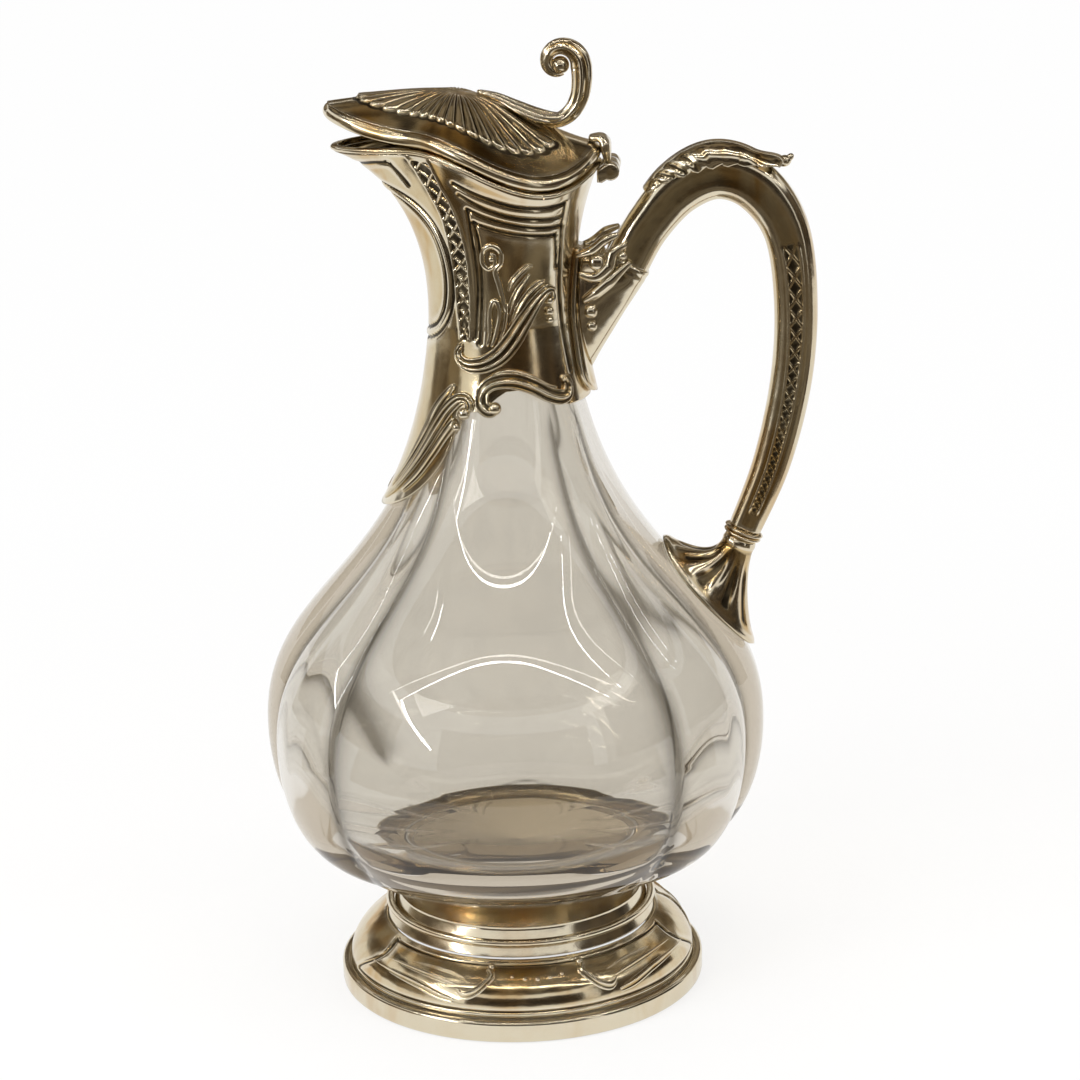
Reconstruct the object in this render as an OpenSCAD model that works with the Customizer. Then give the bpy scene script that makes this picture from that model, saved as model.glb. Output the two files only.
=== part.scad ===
// Claret jug: lobed glass body, cast neck mount, hinged fluted lid, loop handle and round foot.
// Millimetres. The origin is the centre of the foot's base. +Z is up, the spout points to -X.
// Angles round the jug are counted from the spout, towards the side at -Y.

/* [Foot] */
// Diameter of the foot's rim
foot_d = 110; // [106:1:116]
// Height of the upright rim
rim_h = 6.5; // [5:0.5:8]
// Thickness of the foot's metal
foot_wall = 1.4; // [1.2:0.1:1.8]
// Diameter of the ring where the dome meets the cup
dome_top_d = 82; // [78:1:86]
// Height of that ring
dome_top_z = 20.5; // [18.5:0.5:22]
// Diameter of the narrowest part of the cup
waist_d = 73; // [72:0.5:74]
// Height of the narrowest part of the cup
waist_z = 28; // [27:0.5:28.5]
// Thickness of the wire round the waist
bead_d = 2.4; // [1.8:0.1:2.8]
// Diameter of the cup's upper edge
cup_d = 84; // [82:0.5:86]
// Thickness of the cup's metal at its narrowest part
cup_wall = 2.4; // [2:0.1:3]

/* [Glass] */
// Greatest diameter of the glass
belly_d = 148.8; // [142:1:156]
// Height of the greatest diameter
belly_z = 82; // [76:1:88]
// Height of the underside of the bowl, at the cup's edge
bowl_z = 39; // [38:0.5:40]
// Outer diameter of the glass mouth
mouth_d = 38.8; // [37:0.2:40]
// Height of the glass mouth
mouth_z = 205; // [200:1:207]
// Thickness of the glass wall
glass_wall = 3.2; // [2.4:0.1:4]
// Thickness of the glass under the inner floor
floor_t = 15; // [12:0.5:18]
// Depth of the grooves between the lobes
groove_depth = 4.2; // [2:0.2:5]

/* [Neck mount] */
// Thickness of the neck mount's metal
collar_wall = 1.1; // [0.9:0.1:1.4]
// Thickness of the plaster between the glass and the neck mount
cement_t = 0.6; // [0.5:0.1:0.8]
// Height of the mount's hem round the neck
hem_z = 182; // [179:1:184]
// Height of the tip of the front tongue
tongue_z = 150; // [146:1:156]
// Radius of the lip away from the spout
lip_r = 28.6; // [27.5:0.5:30]
// Reach of the spout beyond the lip's radius
spout_reach = 18.4; // [15:0.5:20]
// Mean height of the lip
lip_z = 251.3; // [248:0.5:254]
// Rise of the lip from the hinge to the spout
lip_tilt = 5.4; // [4:0.2:6]
// Dip of the lip's wave at the sides
lip_wave = 2.65; // [2:0.05:3]
// Thickness of the wire on the lip
lip_wire_t = 1.8; // [1.4:0.1:2.2]

/* [Lid] */
// Height of the lid's highest point
lid_top_z = 270.3; // [268:0.5:274]
// Distance of that point from the jug's axis, towards the spout
lid_top_x = 10.8; // [6:0.5:14]
// Height of the lid's rounded rim
lid_rim_h = 4; // [3.4:0.1:4.6]
// Gap between the lid's beak and the spout
beak_gap = 7.5; // [4:0.5:9]
// Reach of the lid's beak beyond the spout
beak_reach = 1.8; // [0.5:0.1:2.5]
// Number of blades in the lid's fan
fan_blades = 40; // [32:2:44]
// Depth of the folds between the blades
fan_depth = 0.7; // [0.4:0.05:1]
// Thickness of the lid's metal
lid_wall = 1.2; // [1:0.1:1.6]
// Radius of the thumbpiece's spiral
scroll_r = 6.2; // [5.4:0.1:6.6]

/* [Hinge] */
// Diameter of the hinge pin
pin_d = 2; // [1.6:0.1:2.2]
// Outer diameter of the hinge knuckles
knuckle_d = 5; // [4.6:0.1:5.4]
// Width of the middle knuckle
mid_knuckle_w = 7.2; // [6:0.2:9]
// Width of each outer knuckle
ear_w = 5; // [4:0.2:6]

/* [Handle] */
// Distance from the jug's axis to the middle of the grip
handle_reach = 84.6; // [80:1:90]
// Height of the middle of the handle's bend
handle_top_z = 245.6; // [242:0.5:249]
// Thickness of the grip, measured away from the jug
grip_t = 12.6; // [11:0.2:14]
// Width of the grip
grip_w = 12; // [10:0.5:14]
// Height of the middle of the handle's foot on the glass
pad_z = 121; // [117:1:124]
// Height of the handle's foot along the glass
pad_h = 33; // [28:1:36]
// Width of the handle's foot
pad_w = 25; // [20:1:27]

/* [Fits] */
// Gap between seated pieces
seat_gap = 0.25; // [0.2:0.05:0.35]
// Gap between the lid's rim and the lip
lid_gap = 0.4; // [0.3:0.05:0.6]
// Radial clearance of the hinge pin
pin_clearance = 0.05; // [0.03:0.01:0.08]

/* [Hidden] */
silver = [0.66, 0.61, 0.50];
plaster = [0.85, 0.83, 0.78];

belly_r = belly_d / 2;
mouth_r = mouth_d / 2;
cup_r = cup_d / 2;
waist_r = waist_d / 2;
stub_r = waist_r - cup_wall - cement_t - 2 * seat_gap;
dome_top_r = dome_top_d / 2;
foot_r = foot_d / 2;
floor_z = bowl_z + floor_t - 7;
cup_floor_z = waist_z - foot_wall;
stub_z = waist_z + cement_t + 2 * seat_gap;

// Steps of the faceted surfaces
side_steps = 5;
lobe_steps = 4;
ring_steps = 48;

function mix(a, b, t) = a + (b - a) * t;
function clamp(t) = min(1, max(0, t));
function smooth(t) = clamp(t) * clamp(t) * (3 - 2 * clamp(t));
function bezier(p, t) =
    pow(1 - t, 3) * p[0] + 3 * pow(1 - t, 2) * t * p[1] + 3 * (1 - t) * t * t * p[2] + pow(t, 3) * p[3];
function polar(r, angle, z) = [-r * cos(angle), -r * sin(angle), z];
function unit(v) = v / norm(v);

// Closed skin over rows of points; each row is a loop. wrap joins the last row to the first.
module skin(rows, wrap = false, flip = false) {
    count = len(rows);
    loop = len(rows[0]);
    spans = wrap ? count : count - 1;
    sides = [
        for (i = [0:spans - 1], j = [0:loop - 1])
        let (
            a = i * loop + j,
            b = i * loop + (j + 1) % loop,
            c = ((i + 1) % count) * loop + (j + 1) % loop,
            d = ((i + 1) % count) * loop + j
        )
        each [[a, c, b], [a, d, c]]
    ];
    first = [for (j = [0:loop - 1]) j];
    last = [for (j = [loop - 1:-1:0]) (count - 1) * loop + j];
    faces = wrap ? sides : concat(sides, [first, last]);
    turned = flip ? [for (f = faces) [for (k = [len(f) - 1:-1:0]) f[k]]] : faces;
    polyhedron([for (row = rows) each row], turned, convexity = 8);
}

// Catmull-Rom curve through points of any size
function spline(p, u) =
    let (
        n = len(p) - 1,
        i = min(n - 1, floor(u)),
        t = u - i,
        a = p[max(0, i - 1)],
        b = p[i],
        c = p[i + 1],
        d = p[min(n, i + 2)]
    )
    0.5 * (2 * b + (c - a) * t + (2 * a - 5 * b + 4 * c - d) * t * t + (3 * b - a - 3 * c + d) * pow(t, 3));

// Glass profile as points of radius and height: under the bowl, the bowl, and the shoulder to the mouth
bowl_turn = [mix(cup_r, belly_r, 0.37), bowl_z + 3.2];
under_rise = 0.44 * (cup_r - stub_r);
glass_under = [
    [stub_r, bowl_z - under_rise], [stub_r + under_rise, bowl_z + 0.2], [bowl_turn[0] - 7, bowl_z + 1.2],
    bowl_turn
];
glass_bowl = [
    bowl_turn, [mix(bowl_turn[0], belly_r, 0.55), bowl_z + 7], [belly_r, mix(bowl_z, belly_z, 0.48)],
    [belly_r, belly_z]
];
glass_shoulder = [
    [belly_r, belly_z], [belly_r, mix(belly_z, mouth_z, 0.372)],
    [mouth_r + 6.3, mix(belly_z, mouth_z, 0.354)], [mouth_r, mouth_z]
];
glass_table = concat(
    [for (i = [0:6]) let (p = bezier(glass_under, i / 6)) [p[1], p[0]]],
    [for (i = [1:12]) let (p = bezier(glass_bowl, i / 12)) [p[1], p[0]]],
    [for (i = [1:36]) let (p = bezier(glass_shoulder, i / 36)) [p[1], p[0]]]
);

// Angle between the spout's line and each pair of grooves; the grooves spread with the belly
function belly_share(z) = smooth((mouth_z - 15 - z) / (mouth_z - 15 - belly_z));
function end_edge(z) = mix(30, 14, belly_share(z));
function side_edge(z) = mix(54, 45, belly_share(z));
function folded(angle) = let (a = (angle + 360) % 180) min(a, 180 - a);
function lobe_place(angle, z) =
    let (a = folded(angle), e = end_edge(z), s = side_edge(z))
    a < e ? a / e : a < s ? abs(2 * (a - e) / (s - e) - 1) : (90 - a) / (90 - s);
function groove_share(z) = smooth((mouth_z - 25 - z) / 50) * smooth((z - bowl_z) / 12);
function lobe_cut(angle, z) = groove_depth * groove_share(z) * pow(lobe_place(angle, z), 2.6);
function glass_r(z) = lookup(z, glass_table);
function glass_at(angle, z) = glass_r(z) - lobe_cut(angle, z);

// Column angles of the glass, which follow the grooves
quarter = lobe_steps / 2 + lobe_steps + side_steps;
function quarter_angle(k, z) =
    let (e = end_edge(z), s = side_edge(z), h = lobe_steps / 2)
    k <= h ? e * k / h : k <= h + lobe_steps ? mix(e, s, (k - h) / lobe_steps)
    : mix(s, 90, (k - h - lobe_steps) / side_steps);
function column(i, z) =
    let (q = floor(i / quarter), k = i % quarter)
    q == 0 ? quarter_angle(k, z) : q == 1 ? 180 - quarter_angle(quarter - k, z)
    : q == 2 ? 180 + quarter_angle(k, z) : 360 - quarter_angle(quarter - k, z);
function glass_row(r, z, share) = [
    for (i = [0:4 * quarter - 1])
    let (a = column(i, z)) polar(r - share * lobe_cut(a, z), a, z)
];

module glass_body() {
    inner_r = belly_r - glass_wall;
    inner_bowl = [
        [stub_r - 6, floor_z], [inner_r - 12, floor_z], [inner_r, mix(floor_z, belly_z, 0.35)],
        [inner_r, belly_z]
    ];
    outer = concat(
        [glass_row(stub_r - 0.8, stub_z, 0), glass_row(stub_r, stub_z + 0.8, 0)],
        [for (i = [0:3]) let (p = bezier(glass_under, i / 3)) glass_row(p[0], p[1], 1)],
        [for (i = [1:5]) let (p = bezier(glass_bowl, i / 5)) glass_row(p[0], p[1], 1)],
        [for (i = [1:12]) let (p = bezier(glass_shoulder, i / 12)) glass_row(p[0], p[1], 1)]
    );
    inner = concat(
        [for (i = [12:-1:1]) let (p = bezier(glass_shoulder, i / 12)) glass_row(p[0] - glass_wall, p[1], 0.7)],
        [for (i = [5:-1:0]) let (p = bezier(inner_bowl, i / 5)) glass_row(p[0], p[1], 0.5)]
    );
    color([0.80, 0.83, 0.80, 0.4]) skin(concat(outer, inner));
}

// The dome's outline from the rim to the cup, as radius and height
dome_curve = [
    [foot_r - 2.8, rim_h + seat_gap], [foot_r - 2.2, rim_h + 6], [dome_top_r + 6, dome_top_z - 2.5],
    [dome_top_r, dome_top_z]
];
dome_table = [for (i = [0:16]) let (p = bezier(dome_curve, i / 16)) [-p[0], p[1]]];
function dome_height(r) = lookup(-r, dome_table);

module foot_rim() {
    inner = foot_r - 2.8 - foot_wall;
    color(silver) rotate_extrude($fn = 96) polygon([
        [foot_r - 1, 0], [foot_r, 1], [foot_r, rim_h - 1], [foot_r - 0.8, rim_h], [inner, rim_h], [inner, 0]
    ]);
}

module foot_dome() {
    outer = [for (i = [0:10]) bezier(dome_curve, i / 10)];
    inner = [for (i = [10:-1:0]) bezier(dome_curve, i / 10) - [foot_wall, i == 0 ? 0 : foot_wall * 0.8]];
    color(silver) rotate_extrude($fn = 96) polygon(concat(outer, inner));
}

cup_seat_z = dome_top_z + seat_gap;
waist_cove = [
    [dome_top_r - 0.6, cup_seat_z], [dome_top_r - 1.6, cup_seat_z + 2.2], [waist_r + 2, waist_z - 4],
    [waist_r, waist_z]
];
module foot_cup() {
    inner = stub_r + cement_t + 2 * seat_gap;
    flare = [
        [waist_r, waist_z], [waist_r + 0.4, mix(waist_z, bowl_z, 0.4)],
        [cup_r - 2, mix(waist_z, bowl_z, 0.7)], [cup_r, bowl_z - seat_gap]
    ];
    color(silver) rotate_extrude($fn = 96) polygon(concat(
        [for (i = [0:6]) bezier(waist_cove, i / 6)],
        [for (i = [1:5]) bezier(flare, i / 5)],
        [[cup_r - foot_wall, bowl_z - seat_gap - 0.2], [inner, bowl_z - 5], [inner, waist_z]],
        [[0, waist_z], [0, cup_floor_z], [waist_r - 3, cup_floor_z], [dome_top_r - 3.2, cup_seat_z]]
    ));
}

module foot_bead() {
    seat = bezier(waist_cove, 0.6);
    color(silver) rotate_extrude($fn = 96)
        translate(seat + [bead_d / 2 + seat_gap, bead_d / 4]) circle(d = bead_d, $fn = 24);
}

module foot_cement() {
    inner = stub_r + seat_gap;
    low = waist_z + seat_gap;
    color(plaster) rotate_extrude($fn = 96) polygon([
        [0, low], [inner + cement_t, low], [inner + cement_t, bowl_z - 6], [inner, bowl_z - 6],
        [inner, low + cement_t], [0, low + cement_t]
    ]);
}

// Neck mount: lip outline, hem and outer surface
function spout_share(angle) = exp(-pow(min(angle, 360 - angle) / 24, 2));
function lip_radius(angle) = lip_r + spout_reach * spout_share(angle);
function lip_height(angle) =
    lip_z + lip_tilt * cos(angle) + 1.8 * cos(2 * angle) - lip_wave * cos(3 * angle);
// Steps crowd towards the spout, where the lip turns most
spout_crowd = 22;
function ring_angle(i) = let (u = 360 * i / ring_steps) u - spout_crowd * sin(u);
tongue_half = 60;
function hem_height(angle) =
    let (a = min(angle, 360 - angle) / tongue_half)
    a >= 1 ? hem_z : mix(tongue_z, hem_z, 1 - sqrt(1 - a * a));
collar_gap = cement_t + 2 * seat_gap;
neck_r = mouth_r + collar_gap + collar_wall;
neck_z = mouth_z + 1;
function bed_gap(z) = mix(seat_gap + 0.2, collar_gap, smooth((z - hem_z + 8) / 12));
function upper_curve(angle) =
    let (
        r = lip_radius(angle), z = lip_height(angle) - lip_wire_t,
        s = pow(spout_share(angle), 0.5), rise = z - neck_z
    )
    [
        [neck_r, neck_z], [neck_r - 1, neck_z + 0.5 * rise],
        [r - (r - neck_r) * mix(0.5, 0.62, s), z - rise * mix(0.2, 0.125, s)], [r, z]
    ];
function upper_table(angle) =
    [for (i = [0:10]) let (p = bezier(upper_curve(angle), i / 10)) [p[1], p[0]]];
function collar_outer(angle, z) =
    z <= neck_z ? glass_r(min(z, mouth_z)) + collar_gap + collar_wall
    : lookup(z, upper_table(angle));

lower_rows = 6;
upper_rows = 7;
function collar_row(k, outside) = [
    for (i = [0:ring_steps - 1])
    let (
        a = ring_angle(i),
        low = k <= lower_rows,
        z0 = mix(hem_height(a), neck_z, clamp(k / lower_rows)),
        p = bezier(upper_curve(a), clamp((k - lower_rows) / upper_rows)),
        z = low ? z0 : p[1],
        r = low ? collar_outer(a, z0) : p[0],
        inner = low ? glass_at(a, min(z0, mouth_z)) + bed_gap(z0) : r - collar_wall
    )
    polar(outside ? r : inner, a, z)
];

module neck_collar() {
    top = lower_rows + upper_rows;
    color(silver) skin(concat(
        [for (k = [0:top]) collar_row(k, true)], [for (k = [top:-1:0]) collar_row(k, false)]
    ), wrap = true);
}

// Ring whose section, a list of offsets in radius and height, rides on the lip's line
module lip_ring(section, beak = 0) {
    skin([
        for (s = section) [
            for (i = [0:ring_steps - 1])
            let (a = ring_angle(i), w = spout_share(a))
            polar(lip_radius(a) + s[0] + (beak > 0 ? beak_reach * w : 0), a, lip_height(a) + s[1] + beak * pow(w, 1.4))
        ]
    ], wrap = true);
}

module collar_lip_wire() {
    low = seat_gap - lip_wire_t;
    color(silver) lip_ring([
        [0.3, low], [0.9, low / 2], [0.3, 0], [-collar_wall - 0.1, 0], [-collar_wall - 0.1, low]
    ]);
}

module collar_cement() {
    low = hem_z + 4;
    high = mouth_z - 3;
    steps = 4;
    color(plaster) rotate_extrude($fn = 96) polygon(concat(
        [for (i = [0:steps]) let (z = mix(low, high, i / steps)) [glass_r(z) + seat_gap, z]],
        [for (i = [steps:-1:0]) let (z = mix(low, high, i / steps)) [glass_r(z) + seat_gap + cement_t, z]]
    ));
}

// Raised stroke on the neck mount. Points hold angle, height, half width and rise.
function neck_point(angle, z, rise) = polar(collar_outer(angle, z) + rise, angle, z);
function stroke_row(p, u, lift) =
    let (
        q = spline(p, u),
        ahead = spline(p, min(len(p) - 1, u + 0.05)),
        behind = spline(p, max(0, u - 0.05)),
        here = neck_point(q[0], q[1], lift),
        along = unit(neck_point(ahead[0], ahead[1], 0) - neck_point(behind[0], behind[1], 0)),
        out = unit([here[0], here[1], 0]),
        side = unit(cross(along, out)),
        radius = norm([here[0], here[1]])
    )
    [
        for (k = [0:4])
        let (
            v = here + side * q[2] * cos(45 * k),
            a = atan2(-v[1], -v[0])
        )
        neck_point(a, v[2], lift + q[3] * sin(45 * k))
    ];
module stroke(p, steps, lift = 0) {
    skin([for (i = [0:steps]) stroke_row(p, (len(p) - 1) * i / steps, seat_gap + lift)], flip = true);
}

scroll_start = 82;
module border_scroll() {
    color(silver) stroke([
        [scroll_start + 5, hem_z + 1.4, 1.0, 1.2], [scroll_start, hem_z + 1.2, 1.6, 1.8],
        [scroll_start + 2, hem_z + 5.5, 1.6, 1.7], [scroll_start + 14, hem_z + 9.3, 1.9, 2.0],
        [scroll_start + 28, hem_z + 7.4, 1.8, 1.9], [scroll_start + 42, hem_z + 3.6, 1.7, 1.8],
        [scroll_start + 54, hem_z + 2.4, 1.6, 1.7], [scroll_start + 61, hem_z + 5.2, 1.3, 1.4]
    ], 18);
}
module border_scroll_near() { border_scroll(); }
module border_scroll_far() { mirror([0, 1, 0]) border_scroll(); }

module side_spray() {
    color(silver) {
        stroke([
            [76, hem_z + 16.6, 1.0, 1.0], [71, hem_z + 16.5, 1.3, 1.4], [76, hem_z + 13.6, 1.9, 1.9],
            [91, hem_z + 16, 2.3, 2.2], [107, hem_z + 24, 2.1, 2.0], [120, hem_z + 33, 1.7, 1.6],
            [128, hem_z + 36.5, 1.4, 1.4], [135, hem_z + 34, 1.0, 1.0]
        ], 16);
        stroke([
            [88, hem_z + 21.5, 0.7, 0.7], [95, hem_z + 29, 0.9, 0.9], [92, hem_z + 40, 0.9, 0.9],
            [88, hem_z + 45, 0.9, 0.9], [82, hem_z + 44.5, 0.9, 0.9], [81.5, hem_z + 40.4, 0.8, 0.8],
            [86.5, hem_z + 39.4, 0.6, 0.6]
        ], 16);
        stroke([
            [101, hem_z + 25, 0.8, 0.8], [106, hem_z + 33, 1.2, 1.1], [114, hem_z + 40.5, 0.5, 0.5]
        ], 6);
    }
}
module side_spray_near() { side_spray(); }
module side_spray_far() { mirror([0, 1, 0]) side_spray(); }

module front_leaf() {
    color(silver) stroke([
        [70, hem_z + 0.8, 1.5, 1.6], [64, hem_z + 4, 1.8, 1.9], [57, hem_z + 0.5, 2.2, 1.9],
        [50, mix(tongue_z, hem_z, 0.68), 2.6, 1.7], [40, mix(tongue_z, hem_z, 0.42), 2.6, 1.4],
        [25, mix(tongue_z, hem_z, 0.2), 1.7, 1.0], [8, tongue_z + 2.4, 0.8, 0.5]
    ], 14, 0.25);
}
module front_leaf_near() { front_leaf(); }
module front_leaf_far() { mirror([0, 1, 0]) front_leaf(); }

// Handle. The strap hugs the back of the neck; the grip follows a spline in the plane of the spout.
strap_half = 23;
strap_t = 1.8;
strap_low = hem_z + 0.5;
strap_high = neck_z + 19;
function strap_face(angle, z) = collar_outer(angle, z) + seat_gap + strap_t;
module handle_strap() {
    rows = 8;
    cols = 6;
    color(silver) skin([
        for (i = [0:rows])
        let (z = mix(strap_low, strap_high, i / rows), half = strap_half * mix(1, 0.72, smooth((i / rows - 0.5) * 2)))
        concat(
            [
                for (j = [0:cols])
                let (a = 180 + half * (2 * j / cols - 1), edge = (j == 0 || j == cols) ? -0.7 : 0)
                polar(strap_face(180, z) + edge, a, z)
            ],
            [
                for (j = [cols:-1:0])
                let (a = 180 + half * (2 * j / cols - 1))
                polar(collar_outer(a, z) + seat_gap, a, z)
            ]
        )
    ]);
}

pad_x = glass_at(180, pad_z);
handle_end = [pad_x + 11.5, 0, pad_z + 19];
arm_x = neck_r + 15;
handle_path = [
    [arm_x, 0, mix(neck_z, handle_top_z, 0.37)],
    [mix(arm_x, handle_reach, 0.12), 0, mix(neck_z, handle_top_z, 0.62)],
    [mix(arm_x, handle_reach, 0.31), 0, mix(neck_z, handle_top_z, 0.88)],
    [mix(arm_x, handle_reach, 0.54), 0, handle_top_z],
    [mix(arm_x, handle_reach, 0.77), 0, handle_top_z - 4.2],
    [handle_reach - 2.6, 0, handle_top_z - 17],
    [handle_reach, 0, mix(handle_end[2], handle_top_z, 0.64)],
    [handle_reach - 1.5, 0, mix(handle_end[2], handle_top_z, 0.42)],
    [mix(handle_end[0], handle_reach, 0.53), 0, mix(handle_end[2], handle_top_z, 0.19)],
    handle_end
];
// Share of the full thickness and width at each point of the path
grip_shares = [
    [1.04, 1.0], [1.04, 1.0], [1.14, 1.05], [1.2, 1.1], [1.16, 1.08], [1.06, 1.0], [1.0, 0.96],
    [0.96, 0.92], [0.88, 0.84], [0.76, 0.76]
];
path_end = len(handle_path) - 1;
function path_way(u) =
    unit(spline(handle_path, min(path_end, u + 0.05)) - spline(handle_path, max(0, u - 0.05)));
function path_out(u) = let (w = path_way(u)) [-w[2], 0, w[0]];
// Section of the grip: rounded, with a shallow channel down each side
function grip_section(angle) =
    let (c = cos(angle), s = sin(angle), dent = 1 - 0.12 * pow(abs(s), 12))
    [sign(c) * pow(abs(c), 0.8), sign(s) * pow(abs(s), 0.8) * dent];
module handle_grip() {
    rows = 30;
    color(silver) skin([
        for (i = [0:rows])
        let (u = path_end * i / rows, mid = spline(handle_path, u), share = spline(grip_shares, u), out = path_out(u))
        [
            for (k = [0:15])
            let (p = grip_section(22.5 * k))
            mid + out * p[0] * grip_t * share[0] / 2 + [0, p[1] * grip_w * share[1] / 2, 0]
        ]
    ], flip = true);
}

// Leaf on the outside of the bend, ending in a bud
leaf_from = 1.6;
leaf_to = 4.4;
module handle_leaf() {
    rows = 14;
    lift = seat_gap + 0.2;
    color(silver) skin([
        for (i = [0:rows])
        let (
            v = i / rows,
            u = mix(leaf_from, leaf_to, v),
            mid = spline(handle_path, u),
            share = spline(grip_shares, u),
            out = path_out(u),
            half = mix(24, 82, pow(sin(180 * min(1, v * 0.92 + 0.04)), 0.7)) - (i % 2) * 9,
            t = 0.8 + 0.9 * sin(180 * v) + 1.2 * pow(v, 8)
        )
        concat(
            [
                for (k = [-3:3])
                let (p = grip_section(half * k / 3), bulge = lift + t * (1 - 0.55 * pow(abs(k) / 3, 2)))
                mid + out * (p[0] * grip_t * share[0] / 2 + bulge * cos(half * k / 3))
                    + [0, p[1] * grip_w * share[1] / 2 + bulge * sin(half * k / 3), 0]
            ],
            [
                for (k = [3:-1:-3])
                let (p = grip_section(half * k / 3))
                mid + out * (p[0] * grip_t * share[0] / 2 + lift * cos(half * k / 3))
                    + [0, p[1] * grip_w * share[1] / 2 + lift * sin(half * k / 3), 0]
            ]
        )
    ], flip = true);
}

// Socket from the strap to the first section of the grip
module handle_socket() {
    start_way = path_way(0);
    start_out = path_out(0);
    arm_mid = handle_path[0] - start_way * seat_gap;
    low = strap_low + 7;
    high = strap_high - 1.5;
    half_w = grip_w / 2 + 1.2;
    rows = 5;
    function back(turn, share) =
        let (
            z = mix(low, high, 0.5 + 0.5 * share * cos(turn)),
            y = share * half_w * sin(turn),
            face = strap_face(180, z) + seat_gap
        )
        [sqrt(face * face - y * y), y, z];
    function arm(turn) =
        let (p = grip_section(turn))
        arm_mid + start_out * p[0] * grip_t * 0.56 + [0, p[1] * grip_w * 0.54, 0];
    seat_share = 0.3;
    seat_low = back(180, seat_share);
    seat_high = back(0, seat_share);
    flat_seat = [
        for (k = [0:15])
        let (p = back(22.5 * k, seat_share), t = (p[2] - seat_low[2]) / (seat_high[2] - seat_low[2]))
        [mix(seat_low[0], seat_high[0], t), p[1], p[2]]
    ];
    seat = [flat_seat, [for (k = [0:15]) back(22.5 * k, 0.66)]];
    body = [
        for (i = [0:rows])
        [
            for (k = [0:15])
            let (b = back(22.5 * k, 1), a = arm(22.5 * k))
            bezier([b, mix(b, a, 0.4), a - start_way * 4, a], i / rows)
        ]
    ];
    color(silver) skin(concat(seat, body), flip = true);
}

ferrule_t = 2.6;
end_way = path_way(path_end);
module handle_ferrule() {
    r = grip_t * 0.38;
    lean = atan2(end_way[0], end_way[2]);
    color(silver) translate(handle_end + end_way * (seat_gap + ferrule_t / 2)) rotate([0, lean, 0])
        rotate_extrude($fn = 48) polygon([
            [0, -ferrule_t / 2], [r + 0.4, -ferrule_t / 2], [r + 1.3, 0], [r + 0.4, ferrule_t / 2],
            [0, ferrule_t / 2]
        ]);
}

// The handle's foot: an oval on the glass. share runs from its middle to its edge.
function pad_point(turn, share, lift) =
    let (
        z = pad_z + share * pad_h / 2 * cos(turn),
        y = share * pad_w / 2 * sin(turn),
        a = 180 + asin(y / glass_r(z))
    )
    polar(glass_at(a, z) + lift, a, z);
// Flat oval that touches that surface at its middle, and closes the pad's faces
flat_share = 0.3;
function flat_row(lift) =
    let (
        mid = pad_point(0, 0, lift),
        up = unit(pad_point(0, 0.02, lift) - pad_point(180, 0.02, lift))
    )
    [
        for (k = [0:pad_turns - 1])
        let (turn = 360 * k / pad_turns)
        mid + up * flat_share * pad_h / 2 * cos(turn) + [0, flat_share * pad_w / 2 * sin(turn), 0]
    ];
function pad_row(share, lift) = [for (k = [0:pad_turns - 1]) pad_point(360 * k / pad_turns, share, lift)];
pad_low_lift = seat_gap + 0.1;
pad_high_lift = pad_low_lift + cement_t + 0.2;
pad_turns = 20;
module handle_terminal() {
    ring_mid = handle_end + end_way * (2 * seat_gap + ferrule_t);
    out = path_out(path_end);
    normal = unit([1, 0, 0.85]);
    lift = pad_high_lift + seat_gap;
    flare = [
        for (i = [0:6])
        [
            for (k = [0:pad_turns - 1])
            let (
                turn = 360 * k / pad_turns,
                ring = ring_mid + out * -grip_t * 0.36 * cos(turn) + [0, grip_t * 0.36 * sin(turn), 0],
                foot = pad_point(turn, 1, lift + 1),
                waist = mix(foot, pad_point(0, 0, lift), 0.45) + normal * 4.5
            )
            bezier([ring, ring + end_way * 8, waist, foot], i / 6)
        ]
    ];
    face = [pad_row(1, lift), pad_row(0.66, lift), flat_row(lift)];
    color(silver) skin(concat(flare, face));
}
module terminal_cement() {
    outer = [flat_row(pad_high_lift), pad_row(0.62, pad_high_lift), pad_row(0.92, pad_high_lift)];
    inner = [pad_row(0.92, pad_low_lift), pad_row(0.62, pad_low_lift), flat_row(pad_low_lift)];
    color(plaster) skin(concat(outer, inner));
}

// Lid
rim_out = 0.9;
rim_w = 3.4;
module lid_rim() {
    h = lid_rim_h;
    color(silver) translate([0, 0, lid_gap]) lip_ring([
        [rim_out - 0.7, 0], [rim_out, 0.22 * h], [rim_out - 0.1, 0.42 * h], [rim_out - 0.6, 0.52 * h],
        [rim_out - 0.3, 0.72 * h], [rim_out - 1.2, h], [rim_out - rim_w, 0.92 * h], [rim_out - rim_w, 0]
    ], beak_gap);
}
module lid_bezel() {
    low = lid_gap - 1.8;
    high = lid_gap + 0.6 * lid_rim_h;
    outer = rim_out - rim_w - seat_gap;
    color(silver) lip_ring([
        [outer - 1.9, low], [outer, high], [outer - 2.8, high], [outer - 2.8, low]
    ], beak_gap);
}

// Distance from the rim's outside to the lid's edge
lid_set = 1.3;
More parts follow.
